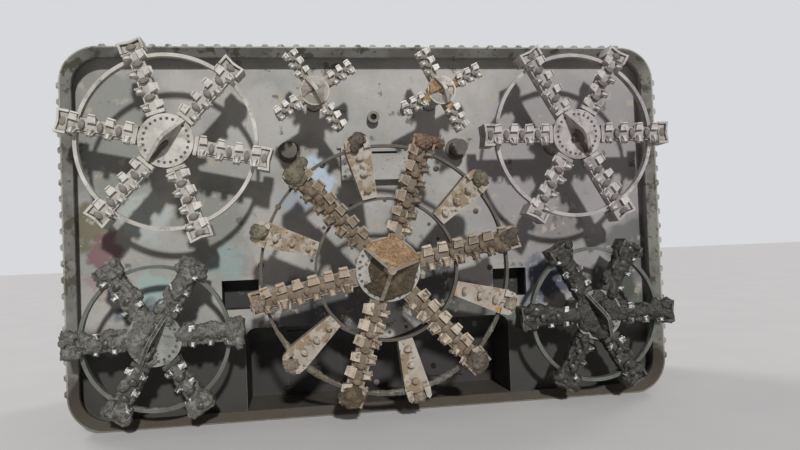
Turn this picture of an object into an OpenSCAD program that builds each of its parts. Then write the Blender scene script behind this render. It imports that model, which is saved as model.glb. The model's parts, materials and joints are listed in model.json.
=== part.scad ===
// Cutterhead section of a box-shaped tunnelling machine: seven spoke rotors on parallel
// shafts in front of a rectangular front shield, with their bearings and drives behind the
// bulkhead. Millimetres. The machine digs towards -Y and stands on its flat bottom.

/* [Shield] */
// Outside width of the shield, without its edge teeth
shield_w = 6870; // [6850:10:7050]
// Outside height of the shield, without its edge teeth
shield_h = 4195; // [4175:10:4375]
// Length of the shield from its cutting edge to its tail
shield_l = 2200; // [2150:10:2600]
// Outside radius of the shield's corners
corner_r = 400; // [300:10:450]
// Thickness of the shield's skin
skin_t = 50; // [40:1:60]
// Length of the hardened cutting edge in front of the skin
edge_l = 150; // [120:5:200]
// Thickness of the cutting edge behind its bevel
edge_t = 90; // [80:1:100]
// Length of the cutting edge's bevel
edge_bevel = 110; // [80:5:115]
// Spacing of the teeth along the cutting edge
edge_pitch = 175; // [150:5:220]
// How far the teeth stand out past the shield's side
edge_tooth = 25; // [15:1:40]

/* [Bulkhead] */
// Distance from the cutting edge back to the bulkhead
bulkhead_set = 300; // [280:5:340]
// Thickness of the bulkhead
bulkhead_t = 60; // [40:1:80]
// Depth of the ribs behind the bulkhead
rib_d = 250; // [150:5:300]
// Thickness of the ribs
rib_t = 30; // [20:1:40]
// Width of the muck bay's opening at the bottom of the bulkhead
bay_w = 3140; // [2900:10:3200]
// Height of the muck bay's opening
bay_h = 1000; // [960:5:1010]
// Depth of the muck bay behind the bulkhead
bay_d = 760; // [600:10:900]
// Thickness of the muck bay's walls
bay_t = 30; // [20:1:40]
// Distance of each conveyor port from the middle
port_x = 800; // [700:10:900]
// Inside radius of a conveyor port
port_r = 300; // [250:5:320]
// Height of the conveyor ports' axes
port_z = 500; // [480:5:520]
// Width of each inspection window
window_w = 420; // [300:5:440]
// Height of each inspection window
window_h = 340; // [250:5:380]
// Distance of each window's middle from the machine's middle
window_x = 1610; // [1590:5:1640]
// Height of the windows' middles
window_z = 1390; // [1300:5:1450]
// Width of the heavy frame round each window
window_frame_w = 90; // [70:5:100]

/* [Centre rotor] */
// Height of the centre rotor's axis
centre_z = 1650; // [1640:5:1660]
// Radius of the centre rotor over its arm tips
centre_tip_r = 1468; // [1400:1:1480]
// How far the centre rotor's outer ring lies inside its tips
centre_ring_in = 132; // [120:1:150]
// Outside radius of the centre rotor's inner ring
inner_ring_r = 770; // [700:5:820]
// How far the centre rotor's arm faces stand in front of the cutting edge
centre_front = 600; // [560:5:650]
// Width of the centre rotor's arms
centre_arm_w = 188; // [170:1:200]
// Direction of the centre rotor's first arm
centre_angle = 12; // [10:1:20]

/* [Corner rotors] */
// Gap between the tips of an upper and a lower rotor, measured straight down
corner_gap = 37; // [30:1:60]
// How far an upper corner rotor's ring lies inside its tips
upper_ring_in = 163; // [150:1:180]
// How far the upper rotors' arm faces stand in front of the cutting edge
upper_front = 365; // [340:5:400]
// Gap from the shield's side to the upper rotors' tips
upper_side_gap = 69; // [65:1:85]
// Gap from the shield's top to the upper rotors' tips
upper_top_gap = 2; // [1:1:15]
// Radius of a lower corner rotor over its arm tips
lower_tip_r = 933; // [900:1:940]
// How far a lower corner rotor's ring lies inside its tips
lower_ring_in = 156; // [140:1:170]
// How far the lower rotors' arm faces stand in front of the cutting edge
lower_front = 290; // [280:5:330]
// Gap from the shield's side to the lower rotors' tips
lower_side_gap = 50; // [45:1:65]
// Gap from the shield's bottom to the lower rotors' tips
lower_foot_gap = 78; // [70:1:90]
// Width of the corner rotors' arms
corner_arm_w = 150; // [140:1:170]

/* [Small rotors] */
// Distance of the small rotors from the middle
small_x = 696; // [680:1:710]
// Gap from the shield's top to the small rotors' tips
small_top_gap = 111; // [105:1:125]
// Radius of a small rotor over its arm tips
small_tip_r = 491; // [450:1:500]
// How far the small rotors' arm faces stand in front of the cutting edge
small_front = 410; // [380:5:440]
// Width of the small rotors' arms
small_arm_w = 92; // [84:1:100]
// Spacing of the tools along the small rotors' arms
small_pitch = 105; // [96:1:110]

/* [Cutting tools] */
// Depth of the arms along the axis
arm_d = 180; // [150:5:200]
// Radial thickness of the corner rotors' rings
ring_t = 38; // [30:1:45]
// Radial thickness of the centre rotor's rings
centre_ring_t = 28; // [20:1:40]
// Depth of the rings along the axis
ring_d = 80; // [60:5:120]
// Spacing of the tools along the centre rotor's arms
centre_pitch = 168; // [160:1:175]
// Spacing of the tools along the corner rotors' arms
corner_pitch = 184; // [178:1:190]
// Length of an edge scraper at its root
scraper_l = 84; // [70:1:95]
// How far the edge scrapers reach past the arm's side
scraper_out = 34; // [25:1:40]
// Height of the tools in front of the arm
tool_h = 78; // [60:1:90]
// Thickness of the strip that carries the tools
strip_t = 26; // [20:1:35]
// Widest that a shell bit is across its arm
shell_w = 114; // [100:1:118]
// Least distance of a shell bit's ends inside the arm's sides
shell_in = 16; // [12:1:24]
// Thickness of a shell bit along the arm
shell_t = 56; // [50:1:60]
// Thickness of a shell bit on the small rotors' arms
small_shell_t = 44; // [36:1:48]
// Width of the gauge box at an arm's tip
gauge_w = 246; // [220:1:260]
// Length of the gauge box at an arm's tip
gauge_l = 120; // [100:1:130]
// Thickness of the nose blades
blade_t = 38; // [30:1:60]

/* [Hidden] */
// Columns of a rotor's row: place, radii, front plane, arms and nose blade
X = 0;
Z = 1;
TIP = 2;
RING = 3;
FRONT = 4;
ARMS = 5;
ANGLE = 6;
BLADE = 7;
upper_tip_r = (shield_h - upper_top_gap - lower_foot_gap - corner_gap) / 2 - lower_tip_r;
upper_ring_r = upper_tip_r - upper_ring_in;
lower_ring_r = lower_tip_r - lower_ring_in;
centre_ring_r = centre_tip_r - centre_ring_in;
plate_r = centre_ring_r + 6;
upper_x = shield_w / 2 - upper_side_gap - upper_tip_r;
upper_z = shield_h - upper_top_gap - upper_tip_r;
lower_x = shield_w / 2 - lower_side_gap - lower_tip_r;
lower_z = lower_foot_gap + lower_tip_r;
small_z = shield_h - small_top_gap - small_tip_r;
//             X         Z         TIP          RING          FRONT        ARMS ANGLE BLADE
centre      = [0,        centre_z, centre_tip_r, centre_ring_r, centre_front, 6, centre_angle, 15];
upper_left  = [-upper_x, upper_z,  upper_tip_r, upper_ring_r, upper_front, 6, 48, 48];
upper_right = [upper_x,  upper_z,  upper_tip_r, upper_ring_r, upper_front, 6, 0,  120];
lower_left  = [-lower_x, lower_z,  lower_tip_r, lower_ring_r, lower_front, 6, 2,  62];
lower_right = [lower_x,  lower_z,  lower_tip_r, lower_ring_r, lower_front, 6, 0,  120];
small_left  = [-small_x, small_z,  small_tip_r, 0,            small_front, 4, 33, 123];
small_right = [small_x,  small_z,  small_tip_r, 0,            small_front, 4, 27, 117];
corners = [upper_left, upper_right, lower_left, lower_right];
smalls = [small_left, small_right];

// Running gap on the radius of each shaft in its bearing
bearing_gap = 0.08;
// Gap between curved faces that are welded together
weld_gap = 0.3;
// Gap round a shaft where it passes the bulkhead
shaft_gap = 12;

// Hubs: half width over the flats, radius and thickness of the front disc, shaft radius
centre_hub_a = 300;
centre_disc_r = 342;
centre_shaft_r = 250;
corner_hub_a = 228;
corner_disc_r = 284;
corner_shaft_r = 150;
small_hub_a = 105;
small_disc_r = 158;
small_shaft_r = 80;
disc_t = 40;
hub_d = arm_d + 20;
ring_set = 30;
ring_fn = 240;
edge_lip = 14;
tool_edge = 22;

// Gauge boxes: wall round the pocket, and how far the tip's middle lies behind its corners
gauge_wall = 24;
gauge_dip = 16;

centre_nose_h = 330;
corner_blade_h = 250;
small_blade_h = 170;

// Fittings on the bulkhead's face
nozzle_z = 3420;
nozzle_r = 70;
nozzle_l = 110;
bar_x = 1000;
bar_z = 3030;
bar_r = 92;
bar_l = 250;

// Bearings and drives behind the bulkhead
seal_t = 40;
centre_seal_r = 850;
centre_bearing_r = 600;
centre_bearing_l = 480;
corner_bearing_r = 350;
corner_bearing_l = 400;
small_bearing_r = 220;
small_bearing_l = 300;
drive_gap = 20;
bulkhead_back = bulkhead_set + bulkhead_t;

// Seats of the steering jacks: distance of their faces from the tail, places, bolt spacing
jack_set = 850;
jack_x = 2000;
jack_z = [1100, 3100];
jack_bolts = 180;

// The lowest corner of the machine's box is centred on the origin along Y
nose_reach = centre_front + disc_t + centre_nose_h;
mid_y = (shield_l - nose_reach) / 2;

$fn = 64;

// Places

// Moves a piece from the cutting edge's plane to the machine's frame
module machine() translate([0, -mid_y, 0]) children();

// Stands a drawing in the XY plane up, so that its Z points ahead of the machine
module facing(x, z, ahead = 0)
    machine() translate([x, -ahead, z]) rotate([90, 0, 0]) children();

// Places a piece on a rotor's axis at its front plane
module on_rotor(row) facing(row[X], row[Z], row[FRONT]) children();

// Repeats a piece on each arm of a rotor
module each_arm(row, turn = 0)
    for (k = [0 : row[ARMS] - 1])
        rotate(row[ANGLE] + turn + k * 360 / row[ARMS]) children();

// Lays an outline in the YZ plane and pulls it along X
module along_arm(length, start = 0)
    translate([start, 0, 0]) rotate([90, 0, 90]) linear_extrude(length) children();

// Shield

module rounded_box(w, h, r) {
    translate([r - w / 2, 0]) square([w - 2 * r, h]);
    translate([-w / 2, r]) square([w, h - 2 * r]);
    for (x = [-1, 1], z = [r, h - r])
        translate([x * (w / 2 - r), z]) circle(r);
}

// Outline of the shield, drawn in by a distance
module shield_outline(inset = 0)
    translate([0, inset])
        rounded_box(shield_w - 2 * inset, shield_h - 2 * inset, corner_r - inset);

module shield_skin() color("#8f918a")
    facing(0, 0, -shield_l) linear_extrude(shield_l - edge_l) difference() {
        shield_outline();
        shield_outline(skin_t);
    }

// Cross-section of the cutting edge at a radius, with its lip ahead of a bevelled inside
module edge_section(r)
    polygon([[r, 0], [r - edge_lip, 0], [r - edge_t, -edge_bevel], [r - edge_t, -edge_l], [r, -edge_l]]);

// Cutting edge, swept round the outline: a quarter turn and a straight run for each corner
module edge_sweep()
    for (k = [0 : 3]) {
        run = (k % 2 == 0 ? shield_h : shield_w) - 2 * corner_r;
        x = (k == 0 || k == 3 ? 1 : -1) * (shield_w / 2 - corner_r);
        z = k < 2 ? shield_h - corner_r : corner_r;
        translate([x, z, 0]) rotate(90 * k) {
            rotate_extrude(angle = 90, $fn = ring_fn) edge_section(corner_r);
            rotate([90, 0, 0]) linear_extrude(run) edge_section(corner_r);
        }
    }

// Row of outward teeth along a straight run that starts at the origin and goes up
module edge_teeth(run) {
    tooth_l = 70;
    count = floor(run / edge_pitch);
    for (k = [0 : count])
        translate([0, run / 2 + (k - count / 2) * edge_pitch, -tooth_l]) linear_extrude(tooth_l)
            polygon([[-6, -48], [edge_tooth, -24], [edge_tooth, 24], [-6, 48]]);
}

module cutting_edge() color("#85807a")
    machine() rotate([90, 0, 0]) {
        edge_sweep();
        for (s = [0, 1])
            mirror([s, 0, 0]) translate([shield_w / 2, corner_r, 0]) edge_teeth(shield_h - 2 * corner_r);
        translate([shield_w / 2 - corner_r, shield_h, 0]) rotate(90) edge_teeth(shield_w - 2 * corner_r);
    }

// Bulkhead

module bay_outline() {
    round_r = 120;
    translate([-bay_w / 2, skin_t]) square([bay_w, bay_h - skin_t - round_r]);
    translate([round_r - bay_w / 2, skin_t]) square([bay_w - 2 * round_r, bay_h - skin_t]);
    for (s = [-1, 1])
        translate([s * (bay_w / 2 - round_r), bay_h - round_r]) circle(round_r);
}

module window_outline(grow = 0)
    for (s = [-1, 1])
        translate([s * window_x, window_z])
            square([window_w + 2 * grow, window_h + 2 * grow], center = true);

module bulkhead() color("#8b8d86")
    facing(0, 0, -bulkhead_back) linear_extrude(bulkhead_t) difference() {
        translate([0, skin_t])
            rounded_box(shield_w - 2 * skin_t, shield_h - 2 * skin_t, corner_r - skin_t + 3);
        bay_outline();
        window_outline(window_frame_w);
        translate([0, centre_z]) circle(centre_shaft_r + shaft_gap);
        for (row = corners)
            translate([row[X], row[Z]]) circle(corner_shaft_r + shaft_gap);
        for (row = smalls)
            translate([row[X], row[Z]]) circle(small_shaft_r + shaft_gap);
    }

// Heavy frames of the windows, let into the bulkhead
module window_frames() color("#8b8d86")
    facing(0, 0, -bulkhead_back) linear_extrude(bulkhead_t) difference() {
        window_outline(window_frame_w);
        window_outline();
    }

module bulkhead_ribs() color("#7d7f7a") {
    side_rib_x = (lower_x + corner_bearing_r + shield_w / 2 - skin_t) / 2;
    mid_rib_x = window_x - window_w / 2 - window_frame_w - rib_t;
    waist_z = (lower_z + upper_z) / 2;
    cross_z = (centre_z + centre_bearing_r + small_z - small_bearing_r) / 2;
    facing(0, 0, -bulkhead_back - rib_d) linear_extrude(rib_d) intersection() {
        shield_inside(0);
        union() {
            for (s = [-1, 1]) {
                translate([s * side_rib_x - rib_t / 2, 0]) square([rib_t, shield_h]);
                translate([s * mid_rib_x - rib_t / 2, bay_h + bay_t]) square([rib_t, shield_h]);
                translate([s > 0 ? mid_rib_x : -shield_w, waist_z])
                    square([shield_w - mid_rib_x, rib_t]);
            }
            translate([-mid_rib_x, cross_z]) square([2 * mid_rib_x, rib_t]);
        }
    }
}

module hatch_box() color("#97958e") {
    hatch_w = 800;
    hatch_h = 390;
    hatch_d = 130;
    hatch_z = 2675;
    facing(0, hatch_z, -bulkhead_set) {
        linear_extrude(hatch_d) difference() {
            translate([-hatch_w / 2, 0]) square([hatch_w, hatch_h]);
            translate([-40, hatch_h - 85]) square([300, 28]);
        }
        translate([-hatch_w / 2 - 40, hatch_h - 1]) cube([hatch_w + 80, 31, 40]);
    }
}

module centre_seal() color("#84857f")
    facing(0, centre_z, -bulkhead_set) linear_extrude(seal_t) difference() {
        circle(centre_seal_r, $fn = 96);
        circle(centre_shaft_r + shaft_gap);
    }

module spray_nozzle() color("#6f6d68")
    facing(0, nozzle_z, -bulkhead_set) linear_extrude(nozzle_l) difference() {
        circle(nozzle_r);
        circle(nozzle_r - 32);
    }

module mixing_bars() color("#5c5a57")
    for (s = [-1, 1])
        facing(s * bar_x, bar_z, -bulkhead_set) {
            cylinder(h = 25, r = bar_r + 38);
            cylinder(h = bar_l, r = bar_r);
        }

// Side walls and roof of the muck bay behind the bulkhead; the shield's skin is its floor
module muck_bay() color("#6b6862")
    facing(0, 0, -bulkhead_back - bay_d + bay_t) linear_extrude(bay_d - bay_t) difference() {
        bay_plan();
        bay_outline();
    }

module bay_plan()
    translate([-bay_w / 2 - bay_t, skin_t])
        square([bay_w + 2 * bay_t, bay_h + bay_t - skin_t]);

// Rear wall of the muck bay, with a hole for each screw conveyor
module bay_rear_wall() color("#6b6862")
    facing(0, 0, -bulkhead_back - bay_d) linear_extrude(bay_t) difference() {
        bay_plan();
        for (s = [-1, 1]) translate([s * port_x, port_z]) circle(port_r);
    }

module conveyor_ports() color("#6b6862")
    for (s = [-1, 1])
        facing(s * port_x, port_z, -bulkhead_back - bay_d) conveyor_port();

// Closed gates on the bay's side of the ports
module port_gates() color("#6b6862")
    for (s = [-1, 1])
        facing(s * port_x, port_z, -bulkhead_back - bay_d + bay_t) {
            gate_w = 2 * port_r + 80;
            translate([-gate_w / 2, -gate_w / 2, 0]) cube([gate_w, gate_w, 30]);
            for (t = [-1, 1])
                translate([t * gate_w / 2 - 20, -gate_w / 2, 0]) cube([40, gate_w + 60, 50]);
        }

// Stub and bolted flange that a screw conveyor's casing is fastened to
module conveyor_port() {
    stub_l = 240;
    stub_t = 16;
    flange_r = port_r + 80;
    flange_t = 25;
    translate([0, 0, -stub_l]) linear_extrude(stub_l) difference() {
        circle(port_r + stub_t);
        circle(port_r);
    }
    translate([0, 0, -stub_l]) linear_extrude(flange_t) difference() {
        circle(flange_r);
        circle(port_r + stub_t - 1);
        for (k = [0 : 11]) rotate(k * 30 + 15) translate([port_r + 50, 0]) circle(13);
    }
}

// Short ducts behind the windows, each closed by its door
module window_ducts() color("#3f3e3c") {
    duct_l = 260;
    duct_t = 16;
    facing(0, 0, -bulkhead_back - duct_l) {
        translate([0, 0, duct_t]) linear_extrude(duct_l - duct_t) difference() {
            window_outline(duct_t);
            window_outline();
        }
        linear_extrude(duct_t) window_outline(duct_t + 24);
    }
}

// Bearings and drives

module bearing(outer_r, shaft_r, length) {
    flange_t = 50;
    flange_r = outer_r + 50;
    difference() {
        union() {
            translate([0, 0, -length]) cylinder(h = length, r = outer_r);
            translate([0, 0, -length]) cylinder(h = flange_t, r = flange_r);
        }
        translate([0, 0, -length - 1]) cylinder(h = length + 2, r = shaft_r + bearing_gap);
    }
}

module centre_bearing() color("#71736f")
    facing(0, centre_z, -bulkhead_back) bearing(centre_bearing_r - 50, centre_shaft_r, centre_bearing_l);

module side_bearings() color("#71736f") {
    for (row = corners)
        facing(row[X], row[Z], -bulkhead_back)
            bearing(corner_bearing_r - 50, corner_shaft_r, corner_bearing_l);
    for (row = smalls)
        facing(row[X], row[Z], -bulkhead_back)
            bearing(small_bearing_r - 50, small_shaft_r, small_bearing_l);
}

// Gear case on the back of a bearing, with its motors behind
module drive(case_r, case_l, motor_r, motor_l, motor_pcd, motors) {
    translate([0, 0, -case_l]) cylinder(h = case_l, r = case_r);
    for (k = [0 : motors - 1])
        rotate(90 + k * 360 / motors) translate([motor_pcd / 2, 0, -case_l - motor_l]) {
            cylinder(h = motor_l + 1, r = motor_r);
            cylinder(h = 40, r = motor_r + 20);
        }
}

module centre_drive() color("#4f6d7a")
    facing(0, centre_z, -bulkhead_back - centre_bearing_l) drive(580, 260, 130, 620, 760, 6);

module side_drives() color("#4f6d7a") {
    for (row = corners)
        facing(row[X], row[Z], -bulkhead_back - corner_bearing_l) drive(300, 420, 190, 520, 0, 1);
    for (row = smalls)
        facing(row[X], row[Z], -bulkhead_back - small_bearing_l) drive(180, 320, 120, 380, 0, 1);
}

// Tail

module tail_ring() color("#85807a")
    facing(0, 0, -shield_l) difference() {
        linear_extrude(300) difference() {
            shield_inside(0);
            shield_inside(70);
        }
        for (back = [60, 160])
            translate([0, 0, back]) linear_extrude(40) difference() {
                shield_inside(50);
                shield_inside(90);
            }
    }

module shield_inside(inset)
    translate([0, skin_t + inset])
        rounded_box(shield_w - 2 * (skin_t + inset), shield_h - 2 * (skin_t + inset),
            corner_r - skin_t - inset + 3);

// Seats for the steering jacks, in pairs along the top, the bottom and the sides
module jack_seats() color("#85807a") {
    for (x = [-jack_x, jack_x]) {
        facing(x, shield_h - skin_t, jack_set - shield_l) mirror([0, 1, 0]) jack_seat();
        facing(x, skin_t, jack_set - shield_l) jack_seat();
    }
    for (s = [-1, 1], z = jack_z)
        facing(s * (shield_w / 2 - skin_t), z, jack_set - shield_l) rotate(s * 90) jack_seat();
}

// Upright flange that a jack's foot is bolted to, with two gussets in front of it
module jack_seat() {
    seat_w = 300;
    seat_h = 280;
    seat_t = 50;
    gusset_l = 260;
    linear_extrude(seat_t) difference() {
        translate([-seat_w / 2, 0]) square([seat_w, seat_h]);
        for (x = [-1, 1], z = [-1, 1])
            translate([x, z] * jack_bolts / 2 + [0, seat_h / 2]) circle(17);
    }
    for (s = [-1, 1])
        translate([s * 45 - 15, 0, seat_t - 1]) rotate([90, 0, 90]) linear_extrude(30)
            polygon([[0, 0], [seat_h - 20, 0], [60, gusset_l], [0, gusset_l]]);
}

// Rotors

// Hub with a flat side for each arm, a round front disc and a shaft to the bearing's rear end
module rotor_hub(row, flat, disc_r, shaft_r, bearing_l) color("#a19c90")
    on_rotor(row) {
        corner = flat / cos(180 / row[ARMS]);
        shaft_l = row[FRONT] + bulkhead_back + bearing_l - drive_gap;
        translate([0, 0, -hub_d]) rotate(row[ANGLE] + 180 / row[ARMS])
            cylinder(h = hub_d + disc_t / 2, r = corner, $fn = row[ARMS]);
        cylinder(h = disc_t, r = disc_r);
        translate([0, 0, -shaft_l]) cylinder(h = shaft_l - 1, r = shaft_r);
    }

// Cross-section of an arm, with its front face at zero
module arm_section(w) {
    taper = w / 6;
    polygon([[-w / 2, 0], [w / 2, 0], [w / 2, -arm_d / 2], [w / 2 - taper, -arm_d],
        [taper - w / 2, -arm_d], [-w / 2, -arm_d / 2]]);
}

// Distance along an arm at which the corners of a flat tip meet the tip circle
function tip_reach(row, w) = sqrt(pow(row[TIP], 2) - pow(w / 2, 2));

// Gauge box at an arm's tip: pointed corners, and a raised wall on three sides of a pocket
module gauge_box(row) {
    tip = tip_reach(row, gauge_w);
    half = gauge_w / 2;
    in_half = half - gauge_wall;
    in_tip = tip - gauge_wall;
    start = tip - gauge_l;
    difference() {
        translate([0, 0, -arm_d]) linear_extrude(arm_d + tool_h)
            polygon([[start, -half], [start, half], [tip, half], [tip - gauge_dip, 0], [tip, -half]]);
        linear_extrude(2 * tool_h)
            polygon([[start - 1, -in_half], [start - 1, in_half], [in_tip, in_half],
                [in_tip - gauge_dip, 0], [in_tip, -in_half]]);
    }
}

// Arms, each with a gauge box at its tip
module rotor_arms(row, flat, w) color("#a9a497")
    on_rotor(row) each_arm(row) {
        along_arm(tip_reach(row, gauge_w) - gauge_wall - gauge_dip - flat, flat) arm_section(w);
        gauge_box(row);
    }

// Band between the arms, cut to their sides
module rotor_ring(row, w) color("#aaa69a")
    on_rotor(row) difference() {
        translate([0, 0, -ring_set - ring_d]) linear_extrude(ring_d) difference() {
            circle(row[RING], $fn = ring_fn);
            circle(row[RING] - ring_t, $fn = ring_fn);
        }
        each_arm(row) along_arm(row[TIP]) {
            arm_section(w);
            translate([-w / 2, -arm_d - ring_d]) square([w, ring_d + arm_d / 2]);
        }
    }

// Outline across a tool strip: the strip between the scrapers, which end above the rings
tool_skirt = ring_set - 2;
function reach_out(w) = min(scraper_out, 0.33 * w);
function tool_side(w) = [[w / 2, 0], [w / 2, -tool_skirt], [w / 2 + reach_out(w) / 2, -tool_skirt],
    [w / 2 + reach_out(w), tool_h * 0.8], [w / 2 + reach_out(w) * 0.6, tool_h],
    [w / 2 - tool_edge, strip_t], [0, strip_t]];

module tool_section(w) {
    side = tool_side(w);
    last = len(side) - 1;
    polygon(concat(side, [for (k = [1 : last]) [-side[last - k][0], side[last - k][1]]]));
}

// Plan of a tool strip: pointed scrapers at each pitch along both edges
function scraper_plan(x, w, l) = [[x - l / 2, w / 2 - tool_edge], [x - l * 0.4, w / 2 + reach_out(w) / 2],
    [x - l * 0.16, w / 2 + reach_out(w)], [x + l * 0.16, w / 2 + reach_out(w)],
    [x + l * 0.4, w / 2 + reach_out(w) / 2], [x + l / 2, w / 2 - tool_edge]];

module tool_plan(w, first, count, from, to, pitch) {
    l = min(scraper_l, pitch * 0.66);
    side = concat([[from, w / 2 - tool_edge]],
        [for (k = [0 : count - 1]) each scraper_plan(first + k * pitch, w, l)],
        [[to, w / 2 - tool_edge]]);
    last = len(side) - 1;
    polygon(concat(side, [for (k = [0 : last]) [side[last - k][0], -side[last - k][1]]]));
}

// Shell bit: a lens across the arm with a crowned top
module shell_bit(across, along, height) {
    r = (pow(across, 2) + pow(along, 2)) / (4 * along);
    crown = max(across * 0.62, 1.06 * (pow(height, 2) + pow(across / 2, 2)) / (2 * height));
    intersection() {
        linear_extrude(height) intersection() {
            translate([r - along / 2, 0]) circle(r);
            translate([along / 2 - r, 0]) circle(r);
        }
        translate([0, 0, height - crown]) sphere(crown);
    }
}

// Strip of edge scrapers in pairs, with a shell bit after each pair
module tool_strip(w, first, count, shells, from, to, pitch, shell_l) {
    intersection() {
        along_arm(to - from, from) tool_section(w);
        translate([0, 0, -tool_h]) linear_extrude(3 * tool_h) tool_plan(w, first, count, from, to, pitch);
    }
    for (k = [0 : shells - 1])
        translate([first + (k + 0.5) * pitch, 0, 0])
            shell_bit(min(shell_w, w - 2 * shell_in), shell_l, tool_h);
}

// Tools of a rotor with gauge boxes: the last pair stands just inside the box
module rotor_tools(row, w, disc_r, pitch) color("#b3aea2") {
    tip = tip_reach(row, gauge_w);
    last_pair = tip - gauge_l - scraper_l / 2 - 4;
    from = disc_r + 4;
    count = floor((last_pair - from - scraper_l / 2) / pitch) + 1;
    on_rotor(row) each_arm(row)
        tool_strip(w, last_pair - (count - 1) * pitch, count, count, from,
            tip - gauge_wall - gauge_dip - 10, pitch, shell_t);
}

// Upright triangular blade across the hub's disc
module nose_blade(length, height)
    rotate([90, 0, 0]) linear_extrude(blade_t, center = true)
        polygon([[-length / 2, 0], [length / 2, 0], [length / 2, 40], [30, height], [-30, height],
            [-length / 2, 40]]);

module rotor_blade(row, disc_r, height) color("#b5b0a4")
    on_rotor(row) translate([0, 0, disc_t]) rotate(row[BLADE]) nose_blade(2 * disc_r, height);

// Centre rotor

// Plan of a side plate, wider at its outer end
module side_plate_plan() {
    inner_w = 156;
    outer_w = 276;
    inner_r = inner_ring_r + weld_gap;
    polygon([[inner_r, -inner_w / 2], [inner_r, inner_w / 2], [plate_r, outer_w / 2],
        [plate_r, -outer_w / 2]]);
}

module centre_side_plates() color("#b09f8a")
    on_rotor(centre) each_arm(centre, 30) {
        translate([0, 0, -arm_d]) linear_extrude(arm_d) side_plate_plan();
        for (x = [865, 1040, 1215])
            translate([x, 0, -1]) shell_bit(94, 60, 66);
        for (s = [-1, 1])
            translate([0, s * 98, -arm_d / 2]) linear_extrude(arm_d / 2 + 46)
                polygon([[plate_r - 40, -34], [plate_r - 40, 34], [plate_r + 62, 26], [plate_r + 88, 0],
                    [plate_r + 62, -26]]);
    }

module centre_outer_ring() color("#8f8778")
    on_rotor(centre) difference() {
        translate([0, 0, -ring_set - ring_d]) linear_extrude(ring_d) difference() {
            circle(centre_ring_r, $fn = ring_fn);
            circle(centre_ring_r - centre_ring_t, $fn = ring_fn);
        }
        each_arm(centre) along_arm(centre_tip_r) {
            arm_section(centre_arm_w);
            translate([-centre_arm_w / 2, -arm_d - ring_d]) square([centre_arm_w, ring_d + arm_d / 2]);
        }
        each_arm(centre, 30)
            translate([0, 0, -arm_d - ring_d]) linear_extrude(arm_d + ring_d) side_plate_plan();
    }

module centre_inner_ring() color("#8f8778")
    on_rotor(centre) difference() {
        translate([0, 0, -ring_set - ring_d]) linear_extrude(ring_d) difference() {
            circle(inner_ring_r, $fn = ring_fn);
            circle(inner_ring_r - centre_ring_t, $fn = ring_fn);
        }
        each_arm(centre) along_arm(centre_tip_r) arm_section(centre_arm_w);
    }

// Three fins round a blunt core that ends in the nose point
module centre_nose() color("#b09a78") {
    fin_top = centre_nose_h - 14;
    on_rotor(centre) translate([0, 0, disc_t]) {
        cylinder(h = centre_nose_h, r1 = 95, r2 = 44);
        for (k = [0 : 2])
            rotate(centre[BLADE] + 120 * k) rotate([90, 0, 0]) linear_extrude(blade_t, center = true)
                polygon([[12, 0], [centre_disc_r - 10, 0], [centre_disc_r - 10, 50], [30, fin_top],
                    [12, fin_top]]);
    }
}

// Rotor makers

module centre_hub() rotor_hub(centre, centre_hub_a, centre_disc_r, centre_shaft_r, centre_bearing_l);
module corner_hub(row) rotor_hub(row, corner_hub_a, corner_disc_r, corner_shaft_r, corner_bearing_l);
module small_hub(row) rotor_hub(row, small_hub_a, small_disc_r, small_shaft_r, small_bearing_l);
module corner_arms(row) rotor_arms(row, corner_hub_a, corner_arm_w);
module corner_tools(row) rotor_tools(row, corner_arm_w, corner_disc_r, corner_pitch);
module corner_blade(row) rotor_blade(row, corner_disc_r, corner_blade_h);

// Arms of a small rotor with their tools, the last pair at the very tip
module small_arms(row) color("#a9a497") {
    tip = tip_reach(row, small_arm_w);
    pairs = 3;
    tool_l = min(scraper_l, small_pitch * 0.66);
    on_rotor(row) each_arm(row) {
        along_arm(tip - small_hub_a, small_hub_a) arm_section(small_arm_w);
        tool_strip(small_arm_w, tip - 2 - tool_l / 2 - (pairs - 1) * small_pitch, pairs, pairs - 1,
            small_disc_r + 2, tip, small_pitch, small_shell_t);
    }
}

// Blade of a small rotor on its blunt cone
module small_blade(row) {
    rotor_blade(row, small_disc_r, small_blade_h);
    color("#b5b0a4") on_rotor(row) translate([0, 0, disc_t])
        cylinder(h = 62, r1 = small_disc_r - 10, r2 = 74);
}

cutting_edge();
shield_skin();
bulkhead();
bulkhead_ribs();
hatch_box();
centre_seal();
spray_nozzle();
mixing_bars();
muck_bay();
bay_rear_wall();
conveyor_ports();
port_gates();
window_frames();
window_ducts();
centre_bearing();
side_bearings();
centre_drive();
side_drives();
tail_ring();
jack_seats();
centre_hub();
rotor_arms(centre, centre_hub_a, centre_arm_w);  // centre_arms
centre_side_plates();
centre_outer_ring();
centre_inner_ring();
rotor_tools(centre, centre_arm_w, centre_disc_r, centre_pitch);  // centre_tools
centre_nose();
corner_hub(upper_left);  // upper_left_hub
corner_arms(upper_left);  // upper_left_arms
rotor_ring(upper_left, corner_arm_w);  // upper_left_ring
corner_tools(upper_left);  // upper_left_tools
corner_blade(upper_left);  // upper_left_blade
corner_hub(upper_right);  // upper_right_hub
corner_arms(upper_right);  // upper_right_arms
rotor_ring(upper_right, corner_arm_w);  // upper_right_ring
corner_tools(upper_right);  // upper_right_tools
corner_blade(upper_right);  // upper_right_blade
corner_hub(lower_left);  // lower_left_hub
corner_arms(lower_left);  // lower_left_arms
rotor_ring(lower_left, corner_arm_w);  // lower_left_ring
corner_tools(lower_left);  // lower_left_tools
corner_blade(lower_left);  // lower_left_blade
corner_hub(lower_right);  // lower_right_hub
corner_arms(lower_right);  // lower_right_arms
rotor_ring(lower_right, corner_arm_w);  // lower_right_ring
corner_tools(lower_right);  // lower_right_tools
corner_blade(lower_right);  // lower_right_blade
small_hub(small_left);  // small_left_hub
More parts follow.
